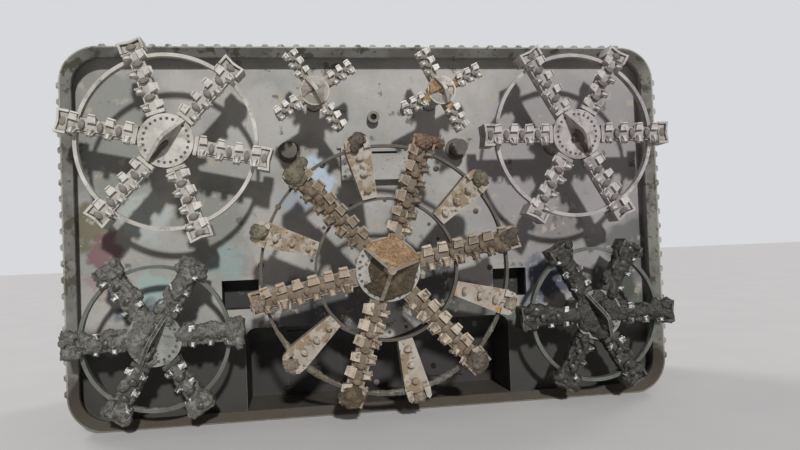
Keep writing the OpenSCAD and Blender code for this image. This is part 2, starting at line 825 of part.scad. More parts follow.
small_arms(small_left);  // small_left_arms
small_blade(small_left);  // small_left_blade
small_hub(small_right);  // small_right_hub
small_arms(small_right);  // small_right_arms
small_blade(small_right);  // small_right_blade
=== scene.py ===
# %% [markdown]
# # A box-shaped tunnelling machine's face
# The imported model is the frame: every steel part is already at its place and its real size, in metres.
# This lesson gives each part its finish, adds what is too small or too soft for the solids, such as
# bolts, collars, clay and mud, and lights the whole as a plain studio would.

# %% Load the frame
import json
import math
import random
from collections import namedtuple

import bmesh
import bpy
import numpy as np
from mathutils import Matrix, Vector, noise


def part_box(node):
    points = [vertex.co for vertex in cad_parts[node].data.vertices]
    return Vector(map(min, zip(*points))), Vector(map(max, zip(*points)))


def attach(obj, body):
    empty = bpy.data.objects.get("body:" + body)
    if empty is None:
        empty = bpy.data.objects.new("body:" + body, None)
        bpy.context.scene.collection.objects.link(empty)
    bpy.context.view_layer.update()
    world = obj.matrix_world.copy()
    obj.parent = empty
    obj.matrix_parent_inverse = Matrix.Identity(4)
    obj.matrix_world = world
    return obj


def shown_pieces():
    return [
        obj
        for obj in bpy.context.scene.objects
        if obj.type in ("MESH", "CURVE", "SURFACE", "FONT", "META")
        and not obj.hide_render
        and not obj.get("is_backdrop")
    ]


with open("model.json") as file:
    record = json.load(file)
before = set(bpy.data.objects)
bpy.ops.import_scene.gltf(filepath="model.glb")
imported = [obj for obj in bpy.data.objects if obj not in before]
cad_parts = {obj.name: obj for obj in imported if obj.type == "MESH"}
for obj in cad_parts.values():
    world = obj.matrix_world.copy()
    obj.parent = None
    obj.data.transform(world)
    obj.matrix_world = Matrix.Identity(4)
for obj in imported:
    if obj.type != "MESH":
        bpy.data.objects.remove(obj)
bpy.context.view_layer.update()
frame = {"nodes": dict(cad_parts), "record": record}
nodes = frame["nodes"]

# %% [markdown]
# The photograph was taken from a little left of the middle, at about eye height, nearly level and with a
# slight roll. A camera in Blender looks along its own -Z, so its three axes are worked out from those
# angles and written into one matrix.

# %% Camera
EDGE_AHEAD_OF_SKIN = 0.150
CUTTING_EDGE_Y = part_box("shield_skin")[0].y - EDGE_AHEAD_OF_SKIN
CAMERA_PLACE = Vector((-0.903, CUTTING_EDGE_Y - 7.728, 1.960))
CAMERA_YAW = math.radians(8.394)
CAMERA_PITCH = math.radians(1.221)
CAMERA_ROLL = math.radians(-2.188)
LENS = 30.47
SENSOR_WIDTH = 36


def make_camera():
    ahead = Vector((math.sin(CAMERA_YAW) * math.cos(CAMERA_PITCH),
                    math.cos(CAMERA_YAW) * math.cos(CAMERA_PITCH), math.sin(CAMERA_PITCH)))
    level = Vector((math.cos(CAMERA_YAW), -math.sin(CAMERA_YAW), 0))
    above = level.cross(ahead)
    right = level * math.cos(CAMERA_ROLL) + above * math.sin(CAMERA_ROLL)
    up = above * math.cos(CAMERA_ROLL) - level * math.sin(CAMERA_ROLL)
    data = bpy.data.cameras.new("camera")
    data.lens = LENS
    data.sensor_width = SENSOR_WIDTH
    camera = bpy.data.objects.new("camera", data)
    turn = Matrix((right, up, -ahead)).transposed().to_4x4()
    camera.matrix_world = Matrix.Translation(CAMERA_PLACE) @ turn
    bpy.context.collection.objects.link(camera)
    bpy.context.scene.camera = camera
    return camera


camera = make_camera()
print("Cutting edge at y =", round(CUTTING_EDGE_Y, 3), "camera at", [round(v, 3) for v in camera.location])

# %% [markdown]
# In the photograph the rotors' shadows fall nearly straight down on the bulkhead, half as far down as the
# bulkhead lies behind them, and their edges are fairly sharp. So the key light comes from straight ahead at
# about 27 degrees and is a few degrees wide. A weak world fills the shadows, and two weaker lamps behind
# keep the machine's rear readable when it is seen from there.

# %% Light, floor and backdrop
WORLD_FILL = 0.27
KEY_POWER = 2.75
KEY_SOFTNESS = math.radians(3.5)
KEY_DIRECTION = Vector((-0.05, 1.0, -0.50))
REAR_POWER = 0.9
REAR_RIGHT_SHARE = 0.6
REAR_SOFTNESS = math.radians(20)
FLOOR_HALF = 60.0
FLOOR_PATCH = 1.25


def linear(code, alpha=1.0):
    """An sRGB hex colour as the linear values that a shader socket takes."""
    channels = [int(code[k:k + 2], 16) / 255 for k in (1, 3, 5)]
    return tuple(c / 12.92 if c <= 0.04045 else ((c + 0.055) / 1.055) ** 2.4 for c in channels) + (alpha,)


def add_node(tree, kind, links=None, values=None, **settings):
    """Adds a node: settings are its own, values go to its inputs, and links join its inputs to outputs."""
    made = tree.nodes.new(kind)
    for key, setting in settings.items():
        setattr(made, key, setting)
    for socket, value in (values or {}).items():
        made.inputs[socket].default_value = value
    for socket, source in (links or {}).items():
        tree.links.new(source, made.inputs[socket])
    return made


def new_material(name):
    material = bpy.data.materials.new(name)
    material.use_nodes = True
    material.node_tree.nodes.clear()
    return material, material.node_tree


def add_sun(name, direction, power, softness):
    data = bpy.data.lights.new(name, "SUN")
    data.energy = power
    data.angle = softness
    lamp = bpy.data.objects.new(name, data)
    lamp.rotation_mode = "QUATERNION"
    lamp.rotation_quaternion = direction.to_track_quat("-Z", "Y")
    bpy.context.collection.objects.link(lamp)


def make_world():
    world = bpy.data.worlds.new("studio")
    world.use_nodes = True
    background = world.node_tree.nodes["Background"]
    background.inputs["Color"].default_value = linear("#ece8f2")
    background.inputs["Strength"].default_value = WORLD_FILL
    seen = add_node(world.node_tree, "ShaderNodeBackground",
                    values={"Color": linear("#d8d9dc"), "Strength": 1.0})
    rays = add_node(world.node_tree, "ShaderNodeLightPath")
    pick = add_node(world.node_tree, "ShaderNodeMixShader", {
        0: rays.outputs["Is Camera Ray"], 1: background.outputs[0], 2: seen.outputs[0]})
    out = world.node_tree.nodes["World Output"]
    world.node_tree.links.new(pick.outputs[0], out.inputs["Surface"])
    bpy.context.scene.world = world
    bpy.context.scene.view_settings.view_transform = "Standard"


def make_floor():
    material, tree = new_material("studio_floor")
    place = add_node(tree, "ShaderNodeTexCoord").outputs["Object"]
    cloudy = add_node(tree, "ShaderNodeTexNoise", {"Vector": place}, {"Scale": 1 / FLOOR_PATCH, "Detail": 4.0})
    tone = add_node(tree, "ShaderNodeMix", {0: cloudy.outputs["Fac"]},
                    {6: linear("#cfcecb"), 7: linear("#dad9d6")}, data_type="RGBA")
    shader = add_node(tree, "ShaderNodeBsdfPrincipled", {"Base Color": tone.outputs[2]}, {"Roughness": 0.9})
    add_node(tree, "ShaderNodeOutputMaterial", {"Surface": shader.outputs["BSDF"]})
    mesh = bpy.data.meshes.new("floor")
    corners = [(x * FLOOR_HALF, y * FLOOR_HALF, 0) for x, y in ((-1, -1), (1, -1), (1, 1), (-1, 1))]
    mesh.from_pydata(corners, [], [(0, 1, 2, 3)])
    floor = bpy.data.objects.new("floor", mesh)
    mesh.materials.append(material)
    bpy.context.collection.objects.link(floor)
    floor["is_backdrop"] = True


make_world()
make_floor()
add_sun("key", KEY_DIRECTION, KEY_POWER, KEY_SOFTNESS)
add_sun("rear_left", Vector((0.7, -0.8, -0.6)), REAR_POWER, REAR_SOFTNESS)
add_sun("rear_right", Vector((-0.8, -0.6, -0.5)), REAR_POWER * REAR_RIGHT_SHARE, REAR_SOFTNESS)

# %% [markdown]
# Every rotor has its own axis, so its places are easiest to give along an arm, across it and ahead of its
# front plane. `seat` makes the matrix that carries such a place into the machine's frame. The numbers are
# those of the CAD source, in metres and degrees.

# %% The rotors' places
# Tip, ring, disc are radii, width is an arm's, and angle and blade are where the first arm and the blade lie.
Rotor = namedtuple("Rotor", "x z front arms angle tip ring disc width blade")
ROTORS = {
    "centre": Rotor(0.0, 1.650, 0.600, 6, 12, 1.468, 1.336, 0.342, 0.188, 15),
    "upper_left": Rotor(-2.260, 3.087, 0.365, 6, 48, 1.106, 0.943, 0.284, 0.150, 48),
    "upper_right": Rotor(2.260, 3.087, 0.365, 6, 0, 1.106, 0.943, 0.284, 0.150, 120),
    "lower_left": Rotor(-2.452, 1.011, 0.290, 6, 2, 0.933, 0.777, 0.284, 0.150, 62),
    "lower_right": Rotor(2.452, 1.011, 0.290, 6, 0, 0.933, 0.777, 0.284, 0.150, 120),
    "small_left": Rotor(-0.696, 3.593, 0.410, 4, 33, 0.491, 0.0, 0.158, 0.092, 123),
    "small_right": Rotor(0.696, 3.593, 0.410, 4, 27, 0.491, 0.0, 0.158, 0.092, 117),
}
BULKHEAD_AHEAD = -0.300
DISC_T = 0.040


def seat(x, z, ahead, angle=0.0):
    """Matrix from (along, across, ahead) at a place on the face to the machine's frame."""
    t = math.radians(angle)
    along = Vector((math.cos(t), 0, math.sin(t)))
    across = Vector((-math.sin(t), 0, math.cos(t)))
    turn = Matrix((along, across, Vector((0, -1, 0)))).transposed().to_4x4()
    return Matrix.Translation((x, CUTTING_EDGE_Y - ahead, z)) @ turn


def arm_seat(name, angle):
    """A seat on a rotor's front plane, turned to an angle."""
    row = ROTORS[name]
    return seat(row.x, row.z, row.front, angle)


def arm_angles(name):
    row = ROTORS[name]
    return [row.angle + k * 360 / row.arms for k in range(row.arms)]


def kind_row(table, name):
    """A rotor's own row in a table, or else the row of its kind: centre, upper, lower or small."""
    return table.get(name, table.get(name.split("_")[0]))


def tool_node(name):
    """The small rotors' arms are one CAD part with their tools."""
    return name + ("_arms" if ROTORS[name].arms == 4 else "_tools")


first_tip = arm_seat("upper_left", ROTORS["upper_left"].angle) @ Vector((ROTORS["upper_left"].tip, 0, 0))
print("First upper left arm tip:", [round(v, 2) for v in first_tip])

# %% [markdown]
# Nearly all that shows is steel under a thin coat: dried grey dust, smeared clay or wet mud. A painted
# picture for each part could hold it, but layers of noise need no picture and no unwrapping. So each coat
# is a colour that covers a share of the surface in patches of a real size, and more of faces that look up.
# A noise keeps near its middle value, so the share is turned into the value at which the coat starts.

# %% Coats
NOISE_SPREAD = 0.32


def coat_start(cover):
    """The noise value above which about this share of a surface lies."""
    return 0.5 + NOISE_SPREAD * (0.5 - cover)


def with_coats(tree, place, up, colour, roughness, coats):
    """Coats are rows of colour, patch size in metres, share covered, softness, roughness and dust on top.
    Gives the colour and, where there is a coat, the roughness."""
    rough = None
    for code, size, cover, soft, gloss, dust in coats:
        patches = add_node(tree, "ShaderNodeTexNoise", {"Vector": place},
                           {"Scale": 1 / size, "Detail": 6.0, "Roughness": 0.65})
        level = add_node(tree, "ShaderNodeMath", {0: up, 2: patches.outputs["Fac"]}, {1: dust},
                         operation="MULTIPLY_ADD")
        start = coat_start(cover)
        covered = add_node(tree, "ShaderNodeMapRange", {"Value": level.outputs[0]},
                           {"From Min": start - soft, "From Max": start + soft})
        colour = add_node(tree, "ShaderNodeMix", {0: covered.outputs[0], 6: colour}, {7: linear(code)},
                          data_type="RGBA").outputs[2]
        blended = add_node(tree, "ShaderNodeMix", {0: covered.outputs[0]}, {2: roughness, 3: gloss})
        if rough is not None:
            tree.links.new(rough, blended.inputs[2])
        rough = blended.outputs[0]
    return colour, rough


print("A coat over a tenth starts at noise", round(coat_start(0.1), 3), "and over half at", coat_start(0.5))

# %% [markdown]
# Two marks have a place of their own. A stain is a ball round a point, its rim bent by noise, and the tide mark
# ends at a ragged height. Most stains are marks of the plate's own, but on the bulkhead the darkest are painted
# shadows. The tide mark is the soil in which the machine stood, and on the bulkhead and in the muck bay it is
# painted shade of that soil. Thin cards in front of the plate could carry them, but a layer follows every hole
# and corner. Stains keep off the faces that look back.

# %% Stains, painted shadows and tide marks
BEND_SIZE = 0.250
BEND_REACH = 0.5
TIDE_SCALE = 2.2  # waves a metre, so each is about 450 mm wide
TIDE_REACH = 0.9
TIDE_SOFT = 0.06


def with_stains_and_shadows(tree, place, facing, colour, stains):
    """Stains and painted shadows are rows of colour, x, y, z, radius and strength."""
    shift = add_node(tree, "ShaderNodeTexNoise", {"Vector": place}, {"Scale": 1 / BEND_SIZE, "Detail": 5.0})
    bent = add_node(tree, "ShaderNodeVectorMath", {0: shift.outputs["Color"], 2: place},
                    {1: [BEND_REACH] * 3}, operation="MULTIPLY_ADD").outputs[0]
    for code, x, y, z, radius, strength in stains:
        off = add_node(tree, "ShaderNodeVectorMath", {0: bent}, {1: [v + BEND_REACH / 2 for v in (x, y, z)]},
                       operation="DISTANCE")
        near = add_node(tree, "ShaderNodeMapRange", {"Value": off.outputs["Value"]},
                        {"From Min": radius * 1.1, "From Max": radius * 0.8, "To Max": strength})
        covered = add_node(tree, "ShaderNodeMapRange", {"Value": facing.outputs["Y"], 4: near.outputs[0]},
                           {"From Min": 0.9, "From Max": 0.5})
        colour = add_node(tree, "ShaderNodeMix", {0: covered.outputs[0], 6: colour}, {7: linear(code)},
                          data_type="RGBA").outputs[2]
    return colour


def with_tide_and_shade(tree, place, colour, code, level):
    """A colour up to a ragged height in metres: where soil stood against the surface, and on the bulkhead and
    bay the painted shade of that soil.
    """
    height = add_node(tree, "ShaderNodeSeparateXYZ", {0: place}).outputs["Z"]
    ragged = add_node(tree, "ShaderNodeTexNoise", {"Vector": place}, {"Scale": TIDE_SCALE, "Detail": 7.0})
    raised = add_node(tree, "ShaderNodeMath", {0: ragged.outputs["Fac"], 2: height}, {1: -TIDE_REACH},
                      operation="MULTIPLY_ADD")
    middle = level - TIDE_REACH / 2
    covered = add_node(tree, "ShaderNodeMapRange", {"Value": raised.outputs[0]},
                       {"From Min": middle + TIDE_SOFT, "From Max": middle - TIDE_SOFT, "To Max": 0.95})
    return add_node(tree, "ShaderNodeMix", {0: covered.outputs[0], 6: colour}, {7: linear(code)},
                    data_type="RGBA").outputs[2]


print("A tide mark is ragged by", TIDE_REACH, "m of noise, a stain by", BEND_REACH, "m")

# %% [markdown]
# Soil and handling rub the edges first. Vertex paint could mark them, but then each edge would have to be
# found by hand. The Bevel node finds them: its normal turns away from the surface's own only near a corner.

# %% Worn edges
EDGE_REACH = 0.010


def with_wear(tree, surface, colour, wear, share):
    corner = add_node(tree, "ShaderNodeBevel", values={"Radius": EDGE_REACH}, samples=4)
    kept = add_node(tree, "ShaderNodeVectorMath", {0: corner.outputs[0], 1: surface}, operation="DOT_PRODUCT")
    rubbed = add_node(tree, "ShaderNodeMapRange", {"Value": kept.outputs["Value"]},
                      {"From Min": 0.985, "From Max": 0.82, "To Max": share})
    return add_node(tree, "ShaderNodeMix", {0: rubbed.outputs[0], 6: colour}, {7: linear(wear)},
                    data_type="RGBA").outputs[2]


print("Edges are worn over", EDGE_REACH * 1000, "mm")

# %% [markdown]
# One CAD part holds all tools of a rotor, yet the scrapers' ends are rubbed bright, the shell bits between them
# are painted dark as the shade under them, and the strip under both is darkened for soil and for painted shade
# between the tools. The part could be cut up, but it is simpler to tell a point's zone by how far it lies
# across its arm and how high it is ahead of the arm's face.

# %% Zones on the tools
STRIP_LOW = 0.029
STRIP_HIGH = 0.034
BITS_INSIDE = (0.013, 0.021)
ENDS_OUTSIDE = (0.004, 0.020)


def with_zones(tree, place, colour, name, ends, bits, floor):
    """Scraper ends, shell bits and the strip's floor are each a colour and a share: the bits' dark is painted
    shade, the floor's is soil and painted shade.
    """
    row = ROTORS[name]
    half_turn = math.pi / row.arms
    off = add_node(tree, "ShaderNodeVectorMath", {0: place}, {1: (row.x, 0, row.z)}, operation="SUBTRACT")
    flat = add_node(tree, "ShaderNodeVectorMath", {0: off.outputs[0]}, {1: (1, 0, 1)}, operation="MULTIPLY")
    far = add_node(tree, "ShaderNodeVectorMath", {0: flat.outputs[0]}, operation="LENGTH").outputs["Value"]
    parts = add_node(tree, "ShaderNodeSeparateXYZ", {0: off.outputs[0]})
    bearing = add_node(tree, "ShaderNodeMath", {0: parts.outputs["Z"], 1: parts.outputs["X"]},
                       operation="ARCTAN2")
    past = add_node(tree, "ShaderNodeMath", {0: bearing.outputs[0]}, {1: math.radians(row.angle)},
                    operation="SUBTRACT")
    within = add_node(tree, "ShaderNodeMath", {0: past.outputs[0]}, {1: half_turn, 2: -half_turn},
                      operation="WRAP")
    sine = add_node(tree, "ShaderNodeMath", {0: within.outputs[0]}, operation="SINE")
    across = add_node(tree, "ShaderNodeMath", {0: sine.outputs[0], 1: far}, operation="MULTIPLY")
    aside = add_node(tree, "ShaderNodeMath", {0: across.outputs[0]}, operation="ABSOLUTE").outputs[0]
    ahead = add_node(tree, "ShaderNodeMath", {0: parts.outputs["Y"]}, {1: -1.0, 2: CUTTING_EDGE_Y - row.front},
                     operation="MULTIPLY_ADD").outputs[0]
    edge = row.width / 2
    inside = add_node(tree, "ShaderNodeMapRange", {"Value": aside},
                      {"From Min": edge - BITS_INSIDE[0], "From Max": edge - BITS_INSIDE[1]})
    raised = add_node(tree, "ShaderNodeMapRange", {"Value": ahead},
                      {"From Min": STRIP_LOW, "From Max": STRIP_HIGH})
    lying = add_node(tree, "ShaderNodeMapRange", {"Value": ahead},
                     {"From Min": STRIP_HIGH, "From Max": STRIP_LOW})
    outside = add_node(tree, "ShaderNodeMapRange", {"Value": aside},
                       {"From Min": edge + ENDS_OUTSIDE[0], "From Max": edge + ENDS_OUTSIDE[1]})
    on_bits = add_node(tree, "ShaderNodeMath", {0: inside.outputs[0], 1: raised.outputs[0]},
                       operation="MULTIPLY")
    for (code, share), mask in ((floor, lying), (bits, on_bits), (ends, outside)):
        amount = add_node(tree, "ShaderNodeMath", {0: mask.outputs[0]}, {1: share}, operation="MULTIPLY")
        colour = add_node(tree, "ShaderNodeMix", {0: amount.outputs[0], 6: colour}, {7: linear(code)},
                          data_type="RGBA").outputs[2]
    return colour


print("Tool zones split at", STRIP_LOW * 1000, "mm ahead of the arm's face")

# %% [markdown]
# The layers come together over steel in two tones. Dust and rust pits are well under a millimetre on the
# real machine and wouldn't show from the camera, so the grain is drawn 6 mm wide.

# %% Coated steel


def coated(name, base, second, coats=(), roughness=0.6, patch=0.5, wear="#c9c6bc", wear_share=0.5, grain=0.006,
           lift=0.0015, stains=(), tide=None, zones=None):
    """Two tones in patches of a size in metres, then stains, coats, tide mark, worn edges and tool zones."""
    material, tree = new_material(name)
    place = add_node(tree, "ShaderNodeTexCoord").outputs["Object"]
    surface = add_node(tree, "ShaderNodeNewGeometry").outputs["Normal"]
    facing = add_node(tree, "ShaderNodeSeparateXYZ", {0: surface})
    broad = add_node(tree, "ShaderNodeTexNoise", {"Vector": place},
                     {"Scale": 1 / patch, "Detail": 5.0, "Roughness": 0.62})
    share = add_node(tree, "ShaderNodeMapRange", {"Value": broad.outputs["Fac"]},
                     {"From Min": 0.4, "From Max": 0.6})
    colour = add_node(tree, "ShaderNodeMix", {0: share.outputs[0]}, {6: linear(base), 7: linear(second)},
                      data_type="RGBA").outputs[2]
    if stains:
        colour = with_stains_and_shadows(tree, place, facing, colour, stains)
    colour, rough = with_coats(tree, place, facing.outputs["Z"], colour, roughness, coats)
    if tide:
        colour = with_tide_and_shade(tree, place, colour, *tide)
    if wear:
        colour = with_wear(tree, surface, colour, wear, wear_share)
    if zones:
        colour = with_zones(tree, place, colour, *zones)
    grains = add_node(tree, "ShaderNodeTexNoise", {"Vector": place},
                      {"Scale": 1 / grain, "Detail": 3.0, "Roughness": 0.6})
    relief = add_node(tree, "ShaderNodeMath", {0: broad.outputs["Fac"], 2: grains.outputs["Fac"]}, {1: 3.0},
                      operation="MULTIPLY_ADD")
    bump = add_node(tree, "ShaderNodeBump", {"Height": relief.outputs[0]}, {"Strength": 0.6, "Distance": lift})
    shader = add_node(tree, "ShaderNodeBsdfPrincipled", {"Base Color": colour, "Normal": bump.outputs[0]},
                      {"Roughness": roughness})
    if rough is not None:
        tree.links.new(rough, shader.inputs["Roughness"])
    add_node(tree, "ShaderNodeOutputMaterial", {"Surface": shader.outputs["BSDF"]})
    return material


print("Layers: two tones, stains, coats, tide mark, worn edges, tool zones")

# %% [markdown]
# The bulkhead is primed steel plate, grey with a green cast, splashed and stained by the soil. Its stains lie
# where the photograph shows them: an olive one low on the left, a red one under it, a pale blue one left of the
# hatch. Its near-black and dark slate rows are painted shadows, behind the centre rotor, round the lower rotors
# and along the bottom. Its dark tide mark is painted shade of the soil before it. Each row is a colour, x, z
# and a radius in metres, and how strong it is.

# %% Finishes of the bulkhead and the shield
BULKHEAD_Y = CUTTING_EDGE_Y - BULKHEAD_AHEAD


def stains_and_shadows_on(y, rows):
    """Stains and painted shadows on one upright plane."""
    return [(code, x, y, z, radius, strength) for code, x, z, radius, strength in rows]


# Painted shadows: the near-black and dark slate rows. They lie at x from -0.95 to 1.00 behind the centre rotor,
# at -2.75, 2.12 and 2.95 round the lower rotors, and low at z 0.55 to 0.60.
BULKHEAD_STAINS_AND_SHADOWS = stains_and_shadows_on(BULKHEAD_Y, [
    ("#8a8587", 2.60, 2.60, 1.50, 0.75), ("#74766f", -3.05, 3.30, 0.80, 0.75),
    ("#76786f", -1.95, 2.30, 0.42, 0.75), ("#a6a49d", -1.30, 3.35, 0.50, 0.7),
    ("#5f5a3e", -3.28, 2.22, 0.26, 0.85), ("#6f4a4e", -3.05, 1.92, 0.20, 0.85),
    ("#8f7472", -3.10, 1.55, 0.16, 0.7), ("#a3aca6", -2.62, 2.35, 0.30, 0.6),
    ("#93a7a1", -2.50, 1.48, 0.24, 0.85), ("#414b58", -2.75, 1.22, 0.24, 0.85),
    ("#7f9492", -1.75, 1.75, 0.22, 0.7), ("#a9b6c2", -0.72, 2.72, 0.24, 0.95),
    ("#8b94a0", -0.98, 2.45, 0.16, 0.6), ("#83786f", -1.50, 1.75, 0.16, 0.5),
    ("#6c6763", 2.25, 2.02, 0.30, 0.6), ("#8b8886", 1.65, 1.95, 0.34, 0.6),
    ("#4c4d4b", 3.30, 1.75, 0.42, 0.75), ("#5d6472", 1.95, 1.40, 0.28, 0.7),
    ("#3c4540", 1.60, 0.60, 0.55, 0.85), ("#3d413a", -1.75, 0.55, 0.50, 0.85),
    ("#2e2d2e", 0.55, 1.35, 0.42, 0.9), ("#343334", -0.45, 1.25, 0.42, 0.85),
    ("#383a36", 1.00, 1.08, 0.36, 0.85), ("#3a393a", -0.95, 1.22, 0.32, 0.85),
    ("#3d4152", 2.12, 1.42, 0.26, 0.9), ("#363a31", 2.95, 1.30, 0.34, 0.9),
    ("#45483f", -3.20, 0.55, 0.60, 0.85), ("#43483f", 3.10, 0.60, 0.70, 0.85),
])
WET_SPLASH = ("#55534a", 0.09, 0.10, 0.015, 0.45, 0.05)
DRY_SPLASH = ("#a29b8c", 0.14, 0.14, 0.03, 0.8, 0.10)
FINISHES = {
    # Rolled plate under a coat of primer: matt, so every splash shows on it.
    # On this plate the dark tide mark below about 0.85 m is painted shade of the soil that stood before it, and
    # some stains are painted shadows.
    "bulkhead_paint": coated("bulkhead_paint", "#a5a19c", "#8d8d86", (
        ("#6d6963", 0.035, 0.06, 0.01, 0.7, 0.0), DRY_SPLASH, ("#5f5b57", 0.30, 0.10, 0.02, 0.6, 0.0)),
        patch=0.9, wear="#b3b0a8", wear_share=0.35, stains=BULKHEAD_STAINS_AND_SHADOWS, tide=("#302d29", 0.85)),
    # Bare rolled plate that has stood outdoors: dull grey with brown rust in broad flecks.
    "skin_steel": coated("skin_steel", "#77756f", "#8a8880", (
        ("#6a4a38", 0.45, 0.10, 0.05, 0.8, 0.0), ("#9a9486", 0.60, 0.16, 0.08, 0.85, 0.05),
        ("#5f5d55", 0.25, 0.06, 0.03, 0.5, 0.0)), patch=1.2, tide=("#48413a", 0.50)),
    # Wear-resistant plate, scoured by the soil that it cuts: paler, with bright edges.
    "edge_steel": coated("edge_steel", "#9a9992", "#7f7d76", (
        ("#5c5b4d", 0.16, 0.30, 0.03, 0.7, 0.0), ("#6e5a49", 0.07, 0.10, 0.02, 0.8, 0.0)),
        patch=0.35, wear="#c4c3bd", wear_share=0.7, tide=("#4b443a", 0.55)),
    # Cast iron, machined and greased: an even dark grey that is a little smoother.
    "housing_iron": coated("housing_iron", "#686b69", "#7b7d79", (WET_SPLASH,), roughness=0.55),
    # Sprayed machine enamel: smooth enough for a broad highlight under its dust.
    "drive_paint": coated("drive_paint", "#3d6078", "#4a6c82", (
        ("#80796b", 0.25, 0.12, 0.05, 0.8, 0.12),), roughness=0.38, wear="#8f9294", wear_share=0.5),
}
print("Shield finishes:", ", ".join(FINISHES))

# %% [markdown]
# The rotors are bare weldable steel under what they last cut through. The upper ones are dry and dusty, the
# centre one is smeared with pale brown clay, and the lower ones stood in mud, so only their discs, rings and
# scraper ends show steel. All are rough and matt: the steel's own shine shows nowhere but on rubbed edges,
# so the coats carry the look and no metallic value is needed under them.

# %% Finishes of the rotors
DUST_COATS = (("#8f8b80", 0.18, 0.30, 0.05, 0.85, 0.0), ("#6f685d", 0.05, 0.09, 0.015, 0.8, 0.03),
              ("#c4c1b8", 0.30, 0.25, 0.06, 0.9, 0.06))
PINK_DUST = (("#857d7b", 0.18, 0.30, 0.05, 0.85, 0.0), ("#655c57", 0.05, 0.12, 0.015, 0.8, 0.03),
             ("#b5aeac", 0.30, 0.20, 0.06, 0.9, 0.06))
CLAY_COATS = (("#85745f", 0.16, 0.42, 0.03, 0.85, 0.04), ("#62543f", 0.06, 0.22, 0.02, 0.75, 0.0),
              ("#a17c4c", 0.14, 0.07, 0.03, 0.85, 0.0))
MUD_COATS = (("#3c3a33", 0.16, 0.55, 0.03, 0.4, 0.04), ("#5d5c50", 0.07, 0.22, 0.02, 0.6, 0.0),
             ("#23221e", 0.05, 0.14, 0.015, 0.3, 0.0))
FINISHES["dust_steel"] = coated("dust_steel", "#b6b3aa", "#a5a197", DUST_COATS, wear="#cfccc3")
FINISHES["clay_steel"] = coated("clay_steel", "#978c7e", "#86796a", CLAY_COATS, patch=0.3, wear="#b3a896",
                                wear_share=0.3)
FINISHES["mud_steel"] = coated("mud_steel", "#55544b", "#46463f", MUD_COATS, roughness=0.5, patch=0.3,
                               wear="#7f7f76", wear_share=0.4)
CENTRE_STAINS = stains_and_shadows_on(CUTTING_EDGE_Y - ROTORS["centre"].front, [
    ("#6f6250", -0.68, 2.40, 0.75, 0.80), ("#75685a", 0.30, 2.75, 0.62, 0.75),
    ("#6b5f50", 1.15, 1.90, 0.45, 0.80), ("#95806f", -0.95, 1.45, 0.60, 0.65)])
print("Finishes by slot:", ", ".join(FINISHES))

# %% [markdown]
# Hardened tool steel is the same metal on every rotor, but what lies on it differs, so the tools take their
# tones from a table: two tones, coats, size of patches, roughness, worn edge and its share. A second table has
# the zones: the scrapers' ends, the shell bits and the strip's floor, each a colour and a share. The shell
# bits' dark colour is painted shade, and the floor's darker tone is soil with painted shade.

# %% Finishes of the tools
TOOL_STEELS = {
    "upper_left": ("#bab7af", "#a8a59c", DUST_COATS, 0.2, 0.6, "#dedcd4", 0.6),
    "upper_right": ("#aba5a3", "#989291", PINK_DUST, 0.2, 0.6, "#d2cecb", 0.6),
    "centre": ("#a39582", "#85776a", CLAY_COATS[:2], 0.25, 0.6, "#c6b9a4", 0.5),
    "small": ("#a19d93", "#878175", DUST_COATS, 0.15, 0.6, "#dfddd6", 0.7),
    "lower": ("#55544c", "#46463f", MUD_COATS, 0.2, 0.4, "#77776f", 0.4),
}
# Columns: ends rubbed bright, shell bits painted dark as shade, strip floor as soil with painted shade.
TOOL_ZONES = {
    "upper_left": (("#d3d0c8", 0.6), ("#5f5a51", 0.8), ("#938f86", 0.35)),
    "upper_right": (("#c7c2bf", 0.6), ("#544e4b", 0.8), ("#847d7b", 0.35)),
    "centre": (("#b8ab98", 0.5), ("#5d4c3c", 0.7), ("#5d5143", 0.65)),
    "small": (("#dddbd4", 0.7), ("#5f584d", 0.7), ("#7d7468", 0.5)),
    "lower": (("#6f7069", 0.5), ("#33322d", 0.6), ("#3a3832", 0.6)),
}
NODE_FINISHES = {}
for name in ROTORS:
    base, second, coats, patch, roughness, wear, wear_share = kind_row(TOOL_STEELS, name)
    NODE_FINISHES[tool_node(name)] = coated(
        "tool_steel_" + name, base, second, coats, roughness=roughness, patch=patch, wear=wear,
        wear_share=wear_share, stains=CENTRE_STAINS if name == "centre" else (),
        zones=(name,) + kind_row(TOOL_ZONES, name))
print("Tool finishes:", ", ".join(NODE_FINISHES))

# %% [markdown]
# Most parts take the finish of their material slot. Some wear or soil has a place of its own in the photograph,
# such as the pink dust at the upper right or the rubbed lower discs, and those parts get their own. The window
# ducts and the muck bay are also painted dark, for the shade that lies in them.

# %% Finishes of single parts
# Painted shade: the window ducts are painted nearly black for the shade inside them.
NODE_FINISHES["window_ducts"] = coated("soot_dark_steel", "#2b2a27", "#201f1d", (WET_SPLASH,), wear="#3a3936",
                                       wear_share=0.3)
NODE_FINISHES["mixing_bars"] = coated("muddy_bar_steel", "#5a5245", "#48423a", (DRY_SPLASH,), patch=0.2,
                                      wear="#7a7264")
NODE_FINISHES["spray_nozzle"] = coated("nozzle_steel", "#77736a", "#5c584c", (WET_SPLASH,), patch=0.1,
                                       wear="#a8a498")
NODE_FINISHES["centre_side_plates"] = coated("plate_steel", "#a59d92", "#948a7d", CLAY_COATS, patch=0.3,
                                             wear="#c8c0b2")
NODE_FINISHES["centre_hub"] = coated("disc_steel_centre", "#a19e97", "#88847b", CLAY_COATS[1:2], patch=0.2,
                                     wear="#c3bcae")
for part in ("arms", "hub", "ring", "blade"):
    NODE_FINISHES["upper_right_" + part] = coated("dust_steel_upper_right_" + part, "#a9a3a1", "#979190",
                                                  PINK_DUST, wear="#c9c5c2")
